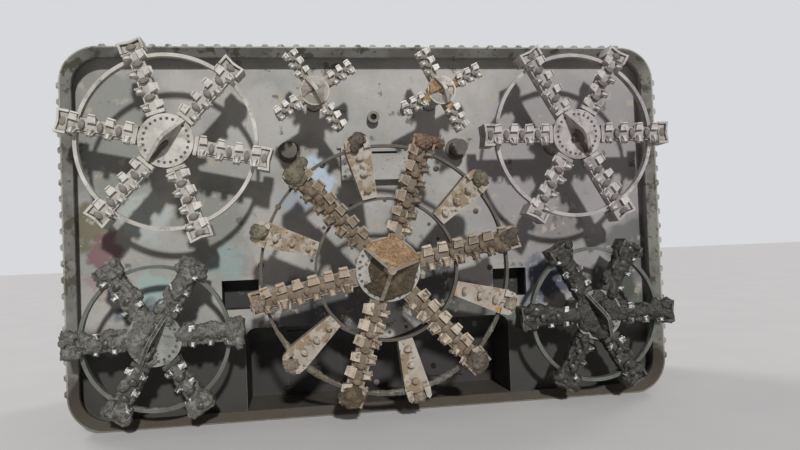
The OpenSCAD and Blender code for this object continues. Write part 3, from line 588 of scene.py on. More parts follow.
# Painted shade: the bay's walls, ports and gates are painted dark for the centre rotor's shade, and their tide
# mark is painted shade of the soil.
for bay in ("muck_bay", "bay_rear_wall", "conveyor_ports", "port_gates"):
    NODE_FINISHES[bay] = coated("bay_steel_" + bay, "#4d4f4b", "#3d3e3b", (WET_SPLASH,), wear="#63635d",
                                tide=("#2a2724", 0.75))
for ring in ("centre_outer_ring", "centre_inner_ring"):
    NODE_FINISHES[ring] = coated("ring_steel_" + ring, "#4c463f", "#3d3933", CLAY_COATS[1:2], patch=0.3,
                                 wear="#8b8375", wear_share=0.6)
for name in ("lower_left", "lower_right"):
    NODE_FINISHES[name + "_hub"] = coated("disc_steel_" + name, "#8b8d86", "#74766e", MUD_COATS[1:], patch=0.2,
                                          wear="#a9aaa4", wear_share=0.6)
    NODE_FINISHES[name + "_ring"] = coated("ring_steel_" + name, "#62675f", "#50534b", MUD_COATS[1:2],
                                           patch=0.3, roughness=0.35, wear="#868b85", wear_share=0.6)
    NODE_FINISHES[name + "_blade"] = coated("blade_steel_" + name, "#5f6059", "#4b4b44", MUD_COATS, patch=0.2,
                                            wear="#c9cac4", wear_share=0.9)

slots = {row["node"]: row["material_slot"] for row in frame["record"]["subparts"]}
for name, thing in nodes.items():
    thing.data.materials.clear()
    thing.data.materials.append(NODE_FINISHES.get(name) or FINISHES[slots[name]])
print("Finishes:", len(FINISHES) + len(NODE_FINISHES), "on", len(nodes), "parts")

# %% [markdown]
# Bolts, lids and plates are turned or cut on the real machine. Modifiers on primitives could make them, but
# with hundreds of one kind it is lighter to write their points: one helper turns an outline of (radius,
# height) points round an axis, and one pulls a flat outline up into a block. `add_piece` closes a bmesh into
# an object, keeps its corners sharp and lets it ride on the body that carries it.

# %% Mesh helpers
CHAMFER_SPREAD = 1.3


def rectangle(start, stop, half):
    """An outline from start to stop along, and half its width to both sides."""
    return [(start, -half), (stop, -half), (stop, half), (start, half)]


def turned(form, at, outline, sides):
    """Turns an outline of (radius, height) points round the seat's third axis."""
    rings = []
    for radius, height in outline:
        if radius < 1e-6:
            rings.append([form.verts.new(at @ Vector((0, 0, height)))])
            continue
        rings.append([form.verts.new(at @ Vector((radius * math.cos(2 * math.pi * k / sides),
                                                  radius * math.sin(2 * math.pi * k / sides), height)))
                      for k in range(sides)])
    for low, high in zip(rings, rings[1:]):
        for k in range(sides):
            j = (k + 1) % sides
            corners = [low[k % len(low)], low[j % len(low)], high[j % len(high)], high[k % len(high)]]
            face = list(dict.fromkeys(corners))
            if len(face) > 2:
                form.faces.new(face)


def block(form, at, outline, bottom, top, draw_in=0.0):
    """Pulls an outline of (along, across) points up from bottom to top, drawn in a little at the top."""
    middle = [sum(p[k] for p in outline) / len(outline) for k in (0, 1)]
    layers = []
    for height, share in ((bottom, 0.0), (top - draw_in, 0.0), (top, draw_in)):
        ring = []
        for a, b in outline:
            reach = max(1e-6, math.hypot(a - middle[0], b - middle[1]))
            keep = 1 - CHAMFER_SPREAD * share / reach
            ring.append(form.verts.new(at @ Vector((middle[0] + (a - middle[0]) * keep,
                                                    middle[1] + (b - middle[1]) * keep, height))))
        layers.append(ring)
    form.faces.new(list(reversed(layers[0])))
    form.faces.new(layers[-1])
    for low, high in zip(layers, layers[1:]):
        for k in range(len(outline)):
            j = (k + 1) % len(outline)
            form.faces.new((low[k], low[j], high[j], high[k]))


def closed_mesh(name, form):
    """The mesh of a finished bmesh, which is given free."""
    mesh = bpy.data.meshes.new(name)
    form.to_mesh(mesh)
    form.free()
    return mesh


def add_piece(name, form, body, material, sharp=35):
    """Takes a bmesh or a ready mesh as a piece of the machine."""
    mesh = form
    if isinstance(form, bmesh.types.BMesh):
        bmesh.ops.recalc_face_normals(form, faces=form.faces)
        mesh = closed_mesh(name, form)
    mesh.shade_smooth()
    mesh.set_sharp_from_angle(angle=math.radians(sharp))
    mesh.materials.clear()
    mesh.materials.append(material)
    piece = bpy.data.objects.new(name, mesh)
    bpy.context.collection.objects.link(piece)
    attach(piece, body)


print("Slots that pieces can take:", ", ".join(sorted(set(slots.values()))))

# %% [markdown]
# Each rotor's front disc is fastened by a ring of socket-head screws near its rim. From the camera they are
# dark dots: a low head with a deep dark socket. Black spots in the material could stand for them, but turned
# heads with a chamfer and a sunk middle hold up when the disc is seen from close by.

# %% Screws on the discs
SCREW_R = 0.0130
SCREW_H = 0.006
SCREW_RINGS = {"upper_left": (0.232, 24), "upper_right": (0.228, 24), "lower_left": (0.232, 24),
               "lower_right": (0.232, 24), "centre": (0.305, 28)}


def add_screw(form, at, radius=SCREW_R, height=SCREW_H):
    """A socket-head screw on its washer."""
    turned(form, at, [(radius * 1.25, -0.002), (radius * 1.25, 0.001), (radius, 0.0012),
                      (radius, height * 0.8), (radius * 0.9, height), (radius * 0.62, height),
                      (radius * 0.55, height * 0.2), (0, height * 0.2)], 12)


def add_bolt(form, at, radius, height):
    """A hexagon head on its washer."""
    washer = [(radius * 1.35, -0.002), (radius * 1.35, height * 0.25), (radius * 1.1, height * 0.25)]
    turned(form, at, washer, 16)
    turned(form, at, [(radius, 0.0), (radius, height * 0.88), (radius * 0.86, height), (0, height)], 6)


# Blackened alloy steel, forged and quenched: nearly black, with dust in patches.
screw_steel = coated("blackened_screw_steel", "#45413b", "#35322d", (("#6b645a", 0.05, 0.3, 0.02, 0.8, 0.1),),
                     roughness=0.5, wear="#6b675f", wear_share=0.4)
for name, (radius, count) in SCREW_RINGS.items():
    form = bmesh.new()
    for k in range(count):
        at = arm_seat(name, (k + 0.5) * 360 / count + ROTORS[name].blade)
        add_screw(form, at @ Matrix.Translation((radius, 0, DISC_T)))
    add_piece(name + "_disc_screws", form, name + "_rotor", screw_steel)
print("Screw rings:", len(SCREW_RINGS))

# %% [markdown]
# Between the disc and the first scrapers each corner arm carries a pale collar, a flat plate with drawn-in
# edges that covers the welded joint. It could be a cube with a bevel, but a block pulled up from an outline
# also gets the slight flare of the real one.

# %% Collars at the arms' inner ends
COLLAR = [(0.291, -0.098), (0.330, -0.104), (0.330, 0.104), (0.291, 0.098)]
COLLAR_TOP = 0.048
COLLAR_FOOT = -0.030
for name in ("upper_left", "upper_right", "lower_left", "lower_right"):
    form = bmesh.new()
    for angle in arm_angles(name):
        block(form, arm_seat(name, angle), COLLAR, COLLAR_FOOT, COLLAR_TOP, 0.006)
    finish = NODE_FINISHES.get(name + "_arms") or FINISHES[slots[name + "_arms"]]
    add_piece(name + "_collars", form, name + "_rotor", finish)
print("Collars stand", COLLAR_TOP * 1000, "mm ahead of the arms")

# %% [markdown]
# The scrapers' cutting heads are blocks of hard metal brazed on their outer corners. They are what glints
# along the arms: bright rounded knobs in pairs. Copies of one mesh would be lighter, but worn heads never sit
# quite alike, so each is a bevelled block of its own, turned and shifted a little with a fixed seed. Sizes
# are along the arm, across it and ahead. On the upper side of the lower rotors' arms half of the heads are
# deep in mud, so only a share of them is made there.

# %% Cutting heads of the scrapers
GAUGE_W = 0.246
GAUGE_L = 0.120
SCRAPER_L = 0.084
TOOL_GAP = 0.004
SMALL_TIP_GAP = 0.002
TOOL_H = 0.078
PITCH = {"centre": 0.168, "upper": 0.184, "lower": 0.184, "small": 0.105}
HEAD_SIZE = {"centre": (0.100, 0.080, 0.056), "upper": (0.078, 0.068, 0.046), "lower": (0.056, 0.050, 0.044),
             "small": (0.060, 0.046, 0.038)}
UPPER_SHARE = {"centre": 1.0, "upper": 1.0, "lower": 0.5, "small": 1.0}


def pair_places(name):
    """Distances of the scraper pairs along an arm, as the CAD source sets them."""
    row = ROTORS[name]
    pitch = kind_row(PITCH, name)
    if row.arms == 4:
        last = math.sqrt(row.tip ** 2 - (row.width / 2) ** 2) - SMALL_TIP_GAP - 0.33 * pitch
        return [last - k * pitch for k in (2, 1, 0)]
    last = math.sqrt(row.tip ** 2 - (GAUGE_W / 2) ** 2) - GAUGE_L - SCRAPER_L / 2 - TOOL_GAP
    count = int((last - row.disc - TOOL_GAP - SCRAPER_L / 2) / pitch) + 1
    return [last - (count - 1 - k) * pitch for k in range(count)]


def add_head(form, at, length, width, height):
    """A bevelled block whose outer end is narrower and whose top falls towards the arm's middle."""
    made = bmesh.ops.create_cube(form, size=1.0)
    for vert in made["verts"]:
        outer = vert.co.y > 0
        top = vert.co.z > 0
        x = vert.co.x * length * (0.68 if outer else 1.0) * (0.76 if top else 1.0)
        z = vert.co.z * height - (height * 0.26 if top and not outer else 0.0)
        vert.co = at @ Vector((x, vert.co.y * width * (0.88 if top else 1.0), z))
    edges = {edge for vert in made["verts"] for edge in vert.link_edges}
    bmesh.ops.bevel(form, geom=list(edges), offset=min(0.33 * height, 0.22 * length), segments=4,
                    affect="EDGES", profile=0.5)


# Sintered tungsten carbide, scoured by the soil: the palest and, where it is wet, the smoothest surface. The
# lower heads' near white is also a painted highlight for the glints on them.
HEAD_FINISHES = {
    "upper_left": coated("hard_metal_upper_left", "#cac7be", "#b6b2a8", DUST_COATS[1:], patch=0.1, wear=None),
    "upper_right": coated("hard_metal_upper_right", "#c0bab7", "#aaa4a1", PINK_DUST[1:2], patch=0.1,
                          wear=None),
    "small": coated("hard_metal_small", "#dddbd5", "#bfbcb4", DUST_COATS[1:2], roughness=0.45, patch=0.06,
                    wear=None),
    "centre": coated("hard_metal_centre", "#b9ac9b", "#988a7a", CLAY_COATS[1:2], patch=0.12, wear="#cbbfac",
                     wear_share=0.25, stains=CENTRE_STAINS),
    # Painted highlight: near white stands for the glints on the wet lower heads as well as their scoured
    # carbide.
    "lower": coated("hard_metal_lower", "#dcdddb", "#8f908a", (("#4a4941", 0.05, 0.32, 0.03, 0.5, 0.0),),
                    roughness=0.3, patch=0.05, wear=None),
}
heads = 0
for name, row in ROTORS.items():
    chance = random.Random(len(name) * 17 + int(row.x * 100))
    reach = min(0.034, 0.33 * row.width)
    length, width, height = kind_row(HEAD_SIZE, name)
    upper_share = kind_row(UPPER_SHARE, name)
    form = bmesh.new()
    for angle in arm_angles(name):
        for far in pair_places(name):
            for side in (-1, 1):
                upper = side * math.cos(math.radians(angle)) > 0.1
                if upper and chance.random() > upper_share:
                    continue
                shift = Matrix.Translation((far + chance.uniform(-0.004, 0.004),
                                            side * (row.width / 2 + reach - width * 0.5),
                                            TOOL_H + 0.004 - height * 0.5 + chance.uniform(-0.004, 0.002)))
                skew = Matrix.Rotation(math.radians(chance.uniform(-8, 8) + (180 if side < 0 else 0)), 4, "Z")
                lean = Matrix.Rotation(math.radians(chance.uniform(-6, 6)), 4, "X")
                at = arm_seat(name, angle) @ shift @ skew @ lean
                add_head(form, at, length * chance.uniform(0.82, 1.08), width * chance.uniform(0.85, 1.0),
                         height)
                heads += 1
    add_piece(name + "_cutting_heads", form, name + "_rotor",
              kind_row(HEAD_FINISHES, name), sharp=60)
print("Cutting heads:", heads)

# %% [markdown]
# Fine spoil has packed into the pockets of the upper rotors' gauge boxes, so they look nearly flat. A flat
# lid would do from afar, but each fill is a block of its own height and lean, as they dried at their own
# angles. Its outline follows the pointed pocket: places are from the tip's flat, and across.

# %% Spoil in the gauge boxes
POCKET = [(-0.118, -0.100), (-0.028, -0.100), (-0.052, 0.0), (-0.028, 0.100), (-0.118, 0.100)]
DUST_TONES = {"upper_left": "#b1ada4", "upper_right": "#a39d9b"}
for name, tone in DUST_TONES.items():
    chance = random.Random(len(name) * 5)
    tip = math.sqrt(ROTORS[name].tip ** 2 - (GAUGE_W / 2) ** 2)
    form = bmesh.new()
    for angle in arm_angles(name):
        fill = [(tip + along, across) for along, across in POCKET]
        lean = Matrix.Rotation(math.radians(chance.uniform(-4, 4)), 4, "X")
        block(form, arm_seat(name, angle) @ lean, fill, -0.004, chance.uniform(0.036, 0.058), 0.012)
    dust = coated("packed_dust_" + name, tone, "#9b978d", DUST_COATS[:1], roughness=0.9, patch=0.1, wear=None,
                  grain=0.01, lift=0.004)
    add_piece(name + "_packed_dust", form, name + "_rotor", dust)
print("Gauge boxes filled on", len(DUST_TONES), "rotors")

# %% [markdown]
# Clay and mud are the opposite of machined parts: no two lumps are alike. They could be sculpted, but then
# each change of a size below would mean sculpting again. So rough balls and bars are laid where the soil
# sticks, melted into one skin by a voxel remesh, and pushed in and out along their normals by fractal noise.
# Seeds are fixed, so the soil is the same every time.

# %% Soil that sticks
SOIL_SCALE = 9.0  # patches a metre, so each is about 110 mm wide


def add_ball(form, at, length, width, height):
    """A ball stretched to its length along, width across and height ahead."""
    stretch = Matrix.Diagonal((length / 2, width / 2, height / 2, 1))
    bmesh.ops.create_icosphere(form, subdivisions=2, radius=1.0, matrix=at @ stretch)


def melted(form, voxel):
    """Melts the closed forms in a bmesh into one even skin."""
    thing = bpy.data.objects.new("melting", closed_mesh("melting", form))
    bpy.context.collection.objects.link(thing)
    remesh = thing.modifiers.new("skin", "REMESH")
    remesh.mode = "VOXEL"
    remesh.voxel_size = voxel
    skin = bpy.data.meshes.new_from_object(thing.evaluated_get(bpy.context.evaluated_depsgraph_get()))
    bpy.data.objects.remove(thing)
    return skin


def roughen(mesh, lumps, seed, reach=None):
    """Moves each vertex along its normal by noise: lumps are rows of size and height in metres.
    Reach, an axis place and a radius, keeps the soil inside the circle that the rotor sweeps."""
    count = len(mesh.vertices)
    places = np.empty(count * 3)
    normals = np.empty(count * 3)
    mesh.vertices.foreach_get("co", places)
    mesh.vertex_normals.foreach_get("vector", normals)
    places = places.reshape(-1, 3)
    normals = normals.reshape(-1, 3)
    for size, height in lumps:
        start = Vector((seed * 7.31, seed * 3.17, seed * 1.93))
        push = np.array([noise.fractal(Vector(p) / size + start, 0.9, 2.1, 3) for p in places])
        places = places + normals * (push * height)[:, None]
    if reach:
        x, z, radius = reach
        far = np.hypot(places[:, 0] - x, places[:, 2] - z)
        keep = np.minimum(1.0, radius / np.maximum(far, 1e-6))
        places[:, 0] = x + (places[:, 0] - x) * keep
        places[:, 2] = z + (places[:, 2] - z) * keep
    mesh.vertices.foreach_set("co", places.ravel())
    mesh.update()


def add_soil(name, rotor, mesh, material):
    """Soil rides on its rotor and takes the material it is given."""
    add_piece(name, mesh, rotor + "_rotor", material, sharp=80)


def soil(name, tone, deep, pale, grain=0.02, roughness=0.8, lift=0.012):
    """Soil from clay to mud: a tone, the dark of its hollows, and the pale of its dry crests."""
    material, tree = new_material(name)
    place = add_node(tree, "ShaderNodeTexCoord").outputs["Object"]
    broad = add_node(tree, "ShaderNodeTexNoise", {"Vector": place},
                     {"Scale": SOIL_SCALE, "Detail": 6.0, "Roughness": 0.65})
    fine = add_node(tree, "ShaderNodeTexNoise", {"Vector": place},
                    {"Scale": 1 / grain, "Detail": 6.0, "Roughness": 0.7})
    low = add_node(tree, "ShaderNodeMapRange", {"Value": fine.outputs["Fac"]},
                   {"From Min": 0.56, "From Max": 0.38})
    dark = add_node(tree, "ShaderNodeMix", {0: low.outputs[0]}, {6: linear(tone), 7: linear(deep)},
                    data_type="RGBA")
    crest = add_node(tree, "ShaderNodeMapRange", {"Value": broad.outputs["Fac"]},
                     {"From Min": 0.5, "From Max": 0.7})
    colour = add_node(tree, "ShaderNodeMix", {0: crest.outputs[0], 6: dark.outputs[2]}, {7: linear(pale)},
                      data_type="RGBA")
    relief = add_node(tree, "ShaderNodeMath", {0: broad.outputs["Fac"], 2: fine.outputs["Fac"]}, {1: 1.5},
                      operation="MULTIPLY_ADD")
    bump = add_node(tree, "ShaderNodeBump", {"Height": relief.outputs[0]}, {"Strength": 0.8, "Distance": lift})
    shader = add_node(tree, "ShaderNodeBsdfPrincipled",
                      {"Base Color": colour.outputs[2], "Normal": bump.outputs[0]}, {"Roughness": roughness})
    add_node(tree, "ShaderNodeOutputMaterial", {"Surface": shader.outputs["BSDF"]})
    return material


# Clay that has dried is matt and pale on its crests; mud that is still wet is darker and shines.
brown_clay = soil("dried_brown_clay", "#67584a", "#3d332a", "#8a7a67")
nose_clay = soil("packed_brown_clay", "#574b3a", "#342c21", "#76664d")
grey_clay = soil("dried_grey_clay", "#84776a", "#564c42", "#9f9384")
tan_clay = soil("rusty_tan_clay", "#977b5b", "#5f4930", "#bb9f7c")
small_clay = soil("pale_clay", "#a0958a", "#7a6c5e", "#b5aca1")
dark_mud = soil("wet_dark_mud", "#66655f", "#383733", "#86857d", roughness=0.4)
ring_mud = soil("wet_grey_mud", "#67635b", "#3b3833", "#858178", roughness=0.45)
brown_mud = soil("wet_brown_mud", "#544b3f", "#302a24", "#6d6355", roughness=0.5)
umber_mud = soil("wet_umber_mud", "#37342f", "#1e1c19", "#4b4740", roughness=0.45)
red_mud = soil("reddish_mud", "#755c4c", "#473529", "#8e7564", roughness=0.7)
olive_mud = soil("olive_mud", "#6d6554", "#403b30", "#878069", roughness=0.65)
soils = [material.name for material in bpy.data.materials if material.name.endswith(("clay", "mud"))]
print("Soils:", ", ".join(soils))

# %% [markdown]
# Mud lies along the lower rotors' arms nearly as high as the tools, most of it on the upper side, so only
# the lower scraper ends show bright. Dried clay on the centre rotor's arms is thinner, lies between the
# tools, and is thickest on the upper arms. A displaced copy of the arms would cover them evenly, which soil
# never does, so each arm gets a core and a row of balls, some of which chance leaves out.

# %% Crusts along the arms
CORE_OVERHANG = 0.022
BALL_STEP = 0.045
CRUST_INSIDE = 0.003
MUD_LUMPS = ((0.14, 0.020), (0.05, 0.014), (0.02, 0.006))
CLAY_LUMPS = ((0.12, 0.010), (0.04, 0.008))
THIN_MUD = (0.004, 0.105, 0.7)
THICK_MUD = (0.034, 0.150, 1.0)
LOWER_MUD = {"lower_left": dark_mud, "lower_right": umber_mud}


def arm_crust(name, rows, material, seed, rise, lumps, voxel=0.013):
    """Rows are an arm's angle, inner and outer ends, core height, ball size and share of places with a
    ball. Rise is how far the balls lie above the arm's middle."""
    row = ROTORS[name]
    chance = random.Random(seed)
    form = bmesh.new()
    for angle, inner, outer, core, size, share in rows:
        at = arm_seat(name, angle)
        up = math.cos(math.radians(angle))
        if core is not None:
            core_outline = rectangle(inner, outer, row.width / 2 + CORE_OVERHANG)
            block(form, at, core_outline, -0.12, core, 0.02)
        far = inner + 0.03
        while far < outer:
            if chance.random() < share:
                ball = size * chance.uniform(0.7, 1.25)
                across = chance.uniform(-0.4, 0.4) * row.width + rise * up
                shift = Matrix.Translation((far, across, 0.022 + chance.uniform(-0.25, 0.10) * ball))
                add_ball(form, at @ shift, ball * 1.2, ball, ball * 0.8)
            far += BALL_STEP
    mesh = melted(form, voxel)
    roughen(mesh, lumps, seed, (row.x, row.z, row.tip - CRUST_INSIDE))
    add_soil(name + "_arm_soil", name, mesh, material)


# The two arms that point down carry less than the others.
for name, seed in (("lower_left", 3), ("lower_right", 8)):
    inner = 0.25
    outer = ROTORS[name].tip - 0.085
    rows = [(angle, inner, outer) + (THIN_MUD if k in (4, 5) else THICK_MUD)
            for k, angle in enumerate(arm_angles(name))]
    arm_crust(name, rows, LOWER_MUD[name], seed, 0.040, MUD_LUMPS)
arm_crust("centre", [
    (12, 0.42, 1.33, None, 0.080, 0.35), (12, 1.05, 1.33, None, 0.130, 0.90),
    (72, 0.42, 1.33, None, 0.080, 0.35), (72, 1.15, 1.35, None, 0.110, 0.70),
    (132, 0.40, 1.33, None, 0.085, 0.45), (132, 0.95, 1.33, None, 0.120, 0.55),
    (192, 0.42, 1.30, None, 0.065, 0.30), (252, 0.45, 1.30, None, 0.050, 0.15),
    (312, 0.45, 1.30, None, 0.050, 0.15)], brown_clay, 5, 0.004, CLAY_LUMPS, voxel=0.010)
print("Crusts laid on", len(LOWER_MUD) + 1, "rotors")

# %% [markdown]
# The larger lumps sit where the photograph shows them, so chance doesn't place them: their rows are given one
# by one. Each gives the arm or plate angle, the distance from the axis, the shift across, the height ahead, and
# the lump's length, width and height. Only the lower tips, which are caked all over, are filled by chance.

# %% Lumps at the arms' and plates' ends
TIP_OVERHANG = 0.035
TIP_LUMPS = ((0.07, 0.020), (0.025, 0.008))


def lumps_piece(name, rotor, rows, material, seed, voxel=0.009, lumps=TIP_LUMPS, overhang=TIP_OVERHANG):
    row = ROTORS[rotor]
    form = bmesh.new()
    for angle, far, across, ahead, *size in rows:
        add_ball(form, arm_seat(rotor, angle) @ Matrix.Translation((far, across, ahead)), *size)
    mesh = melted(form, voxel)
    roughen(mesh, lumps, seed, (row.x, row.z, row.tip + overhang))
    add_soil(name, rotor, mesh, material)


lumps_piece("centre_tip_mud", "centre", [
    (12, 1.36, 0.00, 0.02, 0.26, 0.24, 0.20), (12, 1.42, 0.06, 0.03, 0.14, 0.14, 0.16),
    (312, 1.38, 0.00, 0.03, 0.27, 0.30, 0.20), (102, 1.40, -0.02, 0.01, 0.17, 0.21, 0.15),
    (102, 1.33, 0.04, 0.03, 0.12, 0.12, 0.12)], brown_mud, 11)
lumps_piece("centre_foot_mud", "centre", [
    (252, 1.38, 0.00, 0.04, 0.26, 0.30, 0.18), (250, 1.43, 0.02, 0.05, 0.14, 0.22, 0.14)], nose_clay, 17)
lumps_piece("centre_tip_red_mud", "centre", [
    (72, 1.41, 0.02, 0.03, 0.17, 0.26, 0.17), (70, 1.45, -0.08, 0.04, 0.12, 0.22, 0.13)], red_mud, 12)
lumps_piece("centre_tip_olive_mud", "centre", [
    (132, 1.37, 0.02, 0.03, 0.26, 0.26, 0.23), (130, 1.43, -0.03, 0.03, 0.15, 0.20, 0.19),
    (42, 1.40, 0.00, 0.01, 0.18, 0.22, 0.16), (162, 1.40, 0.00, 0.01, 0.18, 0.21, 0.16)], olive_mud, 13)
lumps_piece("centre_tip_clay", "centre", [
    (192, 1.39, 0.00, 0.02, 0.20, 0.22, 0.13),
    (222, 1.41, 0.02, 0.01, 0.16, 0.21, 0.12), (342, 1.40, 0.00, 0.00, 0.15, 0.19, 0.13),
    (282, 1.40, 0.00, 0.00, 0.13, 0.17, 0.11)], grey_clay, 14)
for name, seed in (("lower_left", 15), ("lower_right", 16)):
    chance = random.Random(seed)
    rows = []
    for angle in arm_angles(name):
        for across in (-0.10, -0.05, 0.0, 0.05, 0.10):
            for inset in (0.045, 0.120):
                rows.append((angle, ROTORS[name].tip - inset - chance.uniform(0.0, 0.03),
                             across + chance.uniform(-0.02, 0.02), chance.uniform(-0.01, 0.045),
                             chance.uniform(0.10, 0.15), chance.uniform(0.09, 0.14),
                             chance.uniform(0.11, 0.15)))
    lumps_piece(name + "_tip_mud", name, rows, LOWER_MUD[name], seed, voxel=0.011, overhang=-0.002)
print("Lumps on each lower rotor's tips:", len(rows))

# %% [markdown]
# Soil also lies in the lower part of the rings, as a thick roll on the centre rotor's outer ring. A curve
# with a round bevel would give a clean pipe, so it is a row of overlapping balls, smaller towards both ends.
# Inset is how far the roll's middle lies inside the ring's outside.

# %% Soil on the rings
TAPER_ANGLE = 12
ROLL_LUMPS = ((0.12, 0.008), (0.03, 0.004))


def ring_soil(name, rotor, start, stop, inset, size, ahead, material, seed):
    row = ROTORS[rotor]
    radius = row.ring - inset
    chance = random.Random(seed)
    form = bmesh.new()
    step = math.degrees(size * 0.38 / radius)
    angle = start
    while angle < stop:
        end = min(1.0, (angle - start) / TAPER_ANGLE, (stop - angle) / TAPER_ANGLE)
        ball = size * (0.45 + 0.55 * end) * chance.uniform(0.85, 1.15)
        at = seat(row.x, row.z, row.front, angle) @ Matrix.Translation((radius, 0, ahead))
        add_ball(form, at, ball, ball * 1.4, ball)
        angle += step
    mesh = melted(form, 0.009)
    roughen(mesh, ROLL_LUMPS, seed)
    add_soil(name, rotor, mesh, material)


RING_SOILS = [
    ("centre_ring_soil_left", "centre", 204, 248, 0.018, 0.078, -0.062, olive_mud, 41),
    ("centre_ring_soil_bottom", "centre", 256, 308, 0.018, 0.078, -0.062, ring_mud, 42),
    ("centre_ring_soil_right", "centre", 316, 338, 0.018, 0.062, -0.060, ring_mud, 43),
    ("lower_left_ring_soil", "lower_left", 214, 298, 0.020, 0.060, -0.060, ring_mud, 44),
    ("lower_right_ring_soil", "lower_right", 305, 340, 0.020, 0.054, -0.060, ring_mud, 45)]
for row in RING_SOILS:
    ring_soil(*row)
print("Rolls of soil on the rings:", len(RING_SOILS))

# %% [markdown]
# The centre nose is a three-sided pyramid: clay is packed between its fins, tan on top, brown at the lower
# right and thinner on the left. A solid cone behind the fins would look cast, so each side is a grid in angle
# and radius that follows the fins' slope and sinks a little between them. The small hubs are packed the same
# way. Each row gives the first and last angle, inner and outer radius, top and low height, and how far the
# clay sinks.

# %% Clay on the noses
SKIRT = 0.045
SKIRT_FLARE = 1.01
NOSE_LUMPS = ((0.12, 0.009), (0.03, 0.004))
SMALL_LUMPS = ((0.06, 0.008), (0.02, 0.003))


def packed_sector(form, at, first, last, inner, outer, top, low, sink, steps=28):
    """Packed clay between two angles, falling outwards, with a straight-sided corner halfway along its rim."""
    middle = math.radians(first + last) / 2
    quarter = math.radians(last - first) / 4
    turns = [math.radians(first + (last - first) * j / steps) for j in range(steps + 1)]
    rims = [outer * math.cos(quarter) / math.cos(abs(t - middle) - quarter) for t in turns]
    rows = []
    for i in range(steps + 1):
        share = i / steps
        row = []
        for j, t in enumerate(turns):
            radius = inner + (rims[j] - inner) * share
            sunk = 1 - sink * math.sin(math.pi * j / steps) * min(1.0, 4 * share)
            height = (top + (low - top) * share) * sunk
            row.append(form.verts.new(at @ Vector((radius * math.cos(t), radius * math.sin(t), height))))
        rows.append(row)
    rows.append([form.verts.new(at @ Vector((rim * SKIRT_FLARE * math.cos(t), rim * SKIRT_FLARE * math.sin(t),
                                             -SKIRT))) for rim, t in zip(rims, turns)])
    for low_row, high_row in zip(rows, rows[1:]):
        for j in range(steps):
            form.faces.new((low_row[j], low_row[j + 1], high_row[j + 1], high_row[j]))


def packed_piece(name, rotor, sectors, material, seed, lumps):
    form = bmesh.new()
    at = arm_seat(rotor, 0) @ Matrix.Translation((0, 0, DISC_T))
    for sector in sectors:
        packed_sector(form, at, *sector)
    bmesh.ops.recalc_face_normals(form, faces=form.faces)
    mesh = closed_mesh(name, form)
    roughen(mesh, lumps, seed)
    add_soil(name, rotor, mesh, material)


packed_piece("centre_nose_top_clay", "centre", [
    (17, 133, 0.030, 0.368, 0.292, 0.022, 0.20)], tan_clay, 21, NOSE_LUMPS)
packed_piece("centre_nose_low_clay", "centre", [
    (-103, 13, 0.030, 0.345, 0.290, 0.020, 0.42)], nose_clay, 22, NOSE_LUMPS)
packed_piece("centre_nose_side_clay", "centre", [
    (137, 214, 0.030, 0.215, 0.280, 0.010, 0.35),
    (210, 253, 0.030, 0.305, 0.285, 0.030, 0.15)], nose_clay, 23, NOSE_LUMPS)
packed_piece("small_left_hub_clay", "small_left", [
    (128, 208, 0.030, 0.150, 0.120, 0.010, 0.15), (208, 298, 0.030, 0.105, 0.110, 0.010, 0.15),
    (308, 388, 0.030, 0.135, 0.110, 0.010, 0.25), (388, 478, 0.030, 0.095, 0.120, 0.010, 0.15)], small_clay, 24,
    SMALL_LUMPS)
packed_piece("small_right_hub_clay", "small_right", [
    (121, 200, 0.030, 0.158, 0.130, 0.012, 0.12), (200, 292, 0.030, 0.125, 0.120, 0.012, 0.20),
    (302, 380, 0.030, 0.140, 0.120, 0.012, 0.25), (380, 472, 0.030, 0.105, 0.130, 0.012, 0.12)], tan_clay, 25,
    SMALL_LUMPS)
lumps_piece("small_left_arm_clay", "small_left", [
    (33, 0.19, 0, 0.01, 0.12, 0.10, 0.06), (213, 0.18, 0, 0.01, 0.10, 0.10, 0.06),
    (303, 0.19, 0, 0.01, 0.10, 0.10, 0.06)], small_clay, 26, voxel=0.007, lumps=SMALL_LUMPS)
lumps_piece("small_right_arm_clay", "small_right", [
    (207, 0.20, 0, 0.01, 0.14, 0.12, 0.08), (27, 0.19, 0, 0.01, 0.10, 0.10, 0.05),
    (297, 0.19, 0, 0.01, 0.12, 0.11, 0.07)], tan_clay, 27, voxel=0.007, lumps=SMALL_LUMPS)
clays = [piece.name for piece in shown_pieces() if piece.name.endswith("_clay")]
print("Pieces of clay:", ", ".join(clays))

# %% [markdown]
# Mud clings to one side of the corner rotors' blades and covers most of the lower discs. On the discs it is
# thick enough to cast shadows and to hide screws, which a coat in the material can't do, so it is laid as
# flat balls and melted like the other soil.

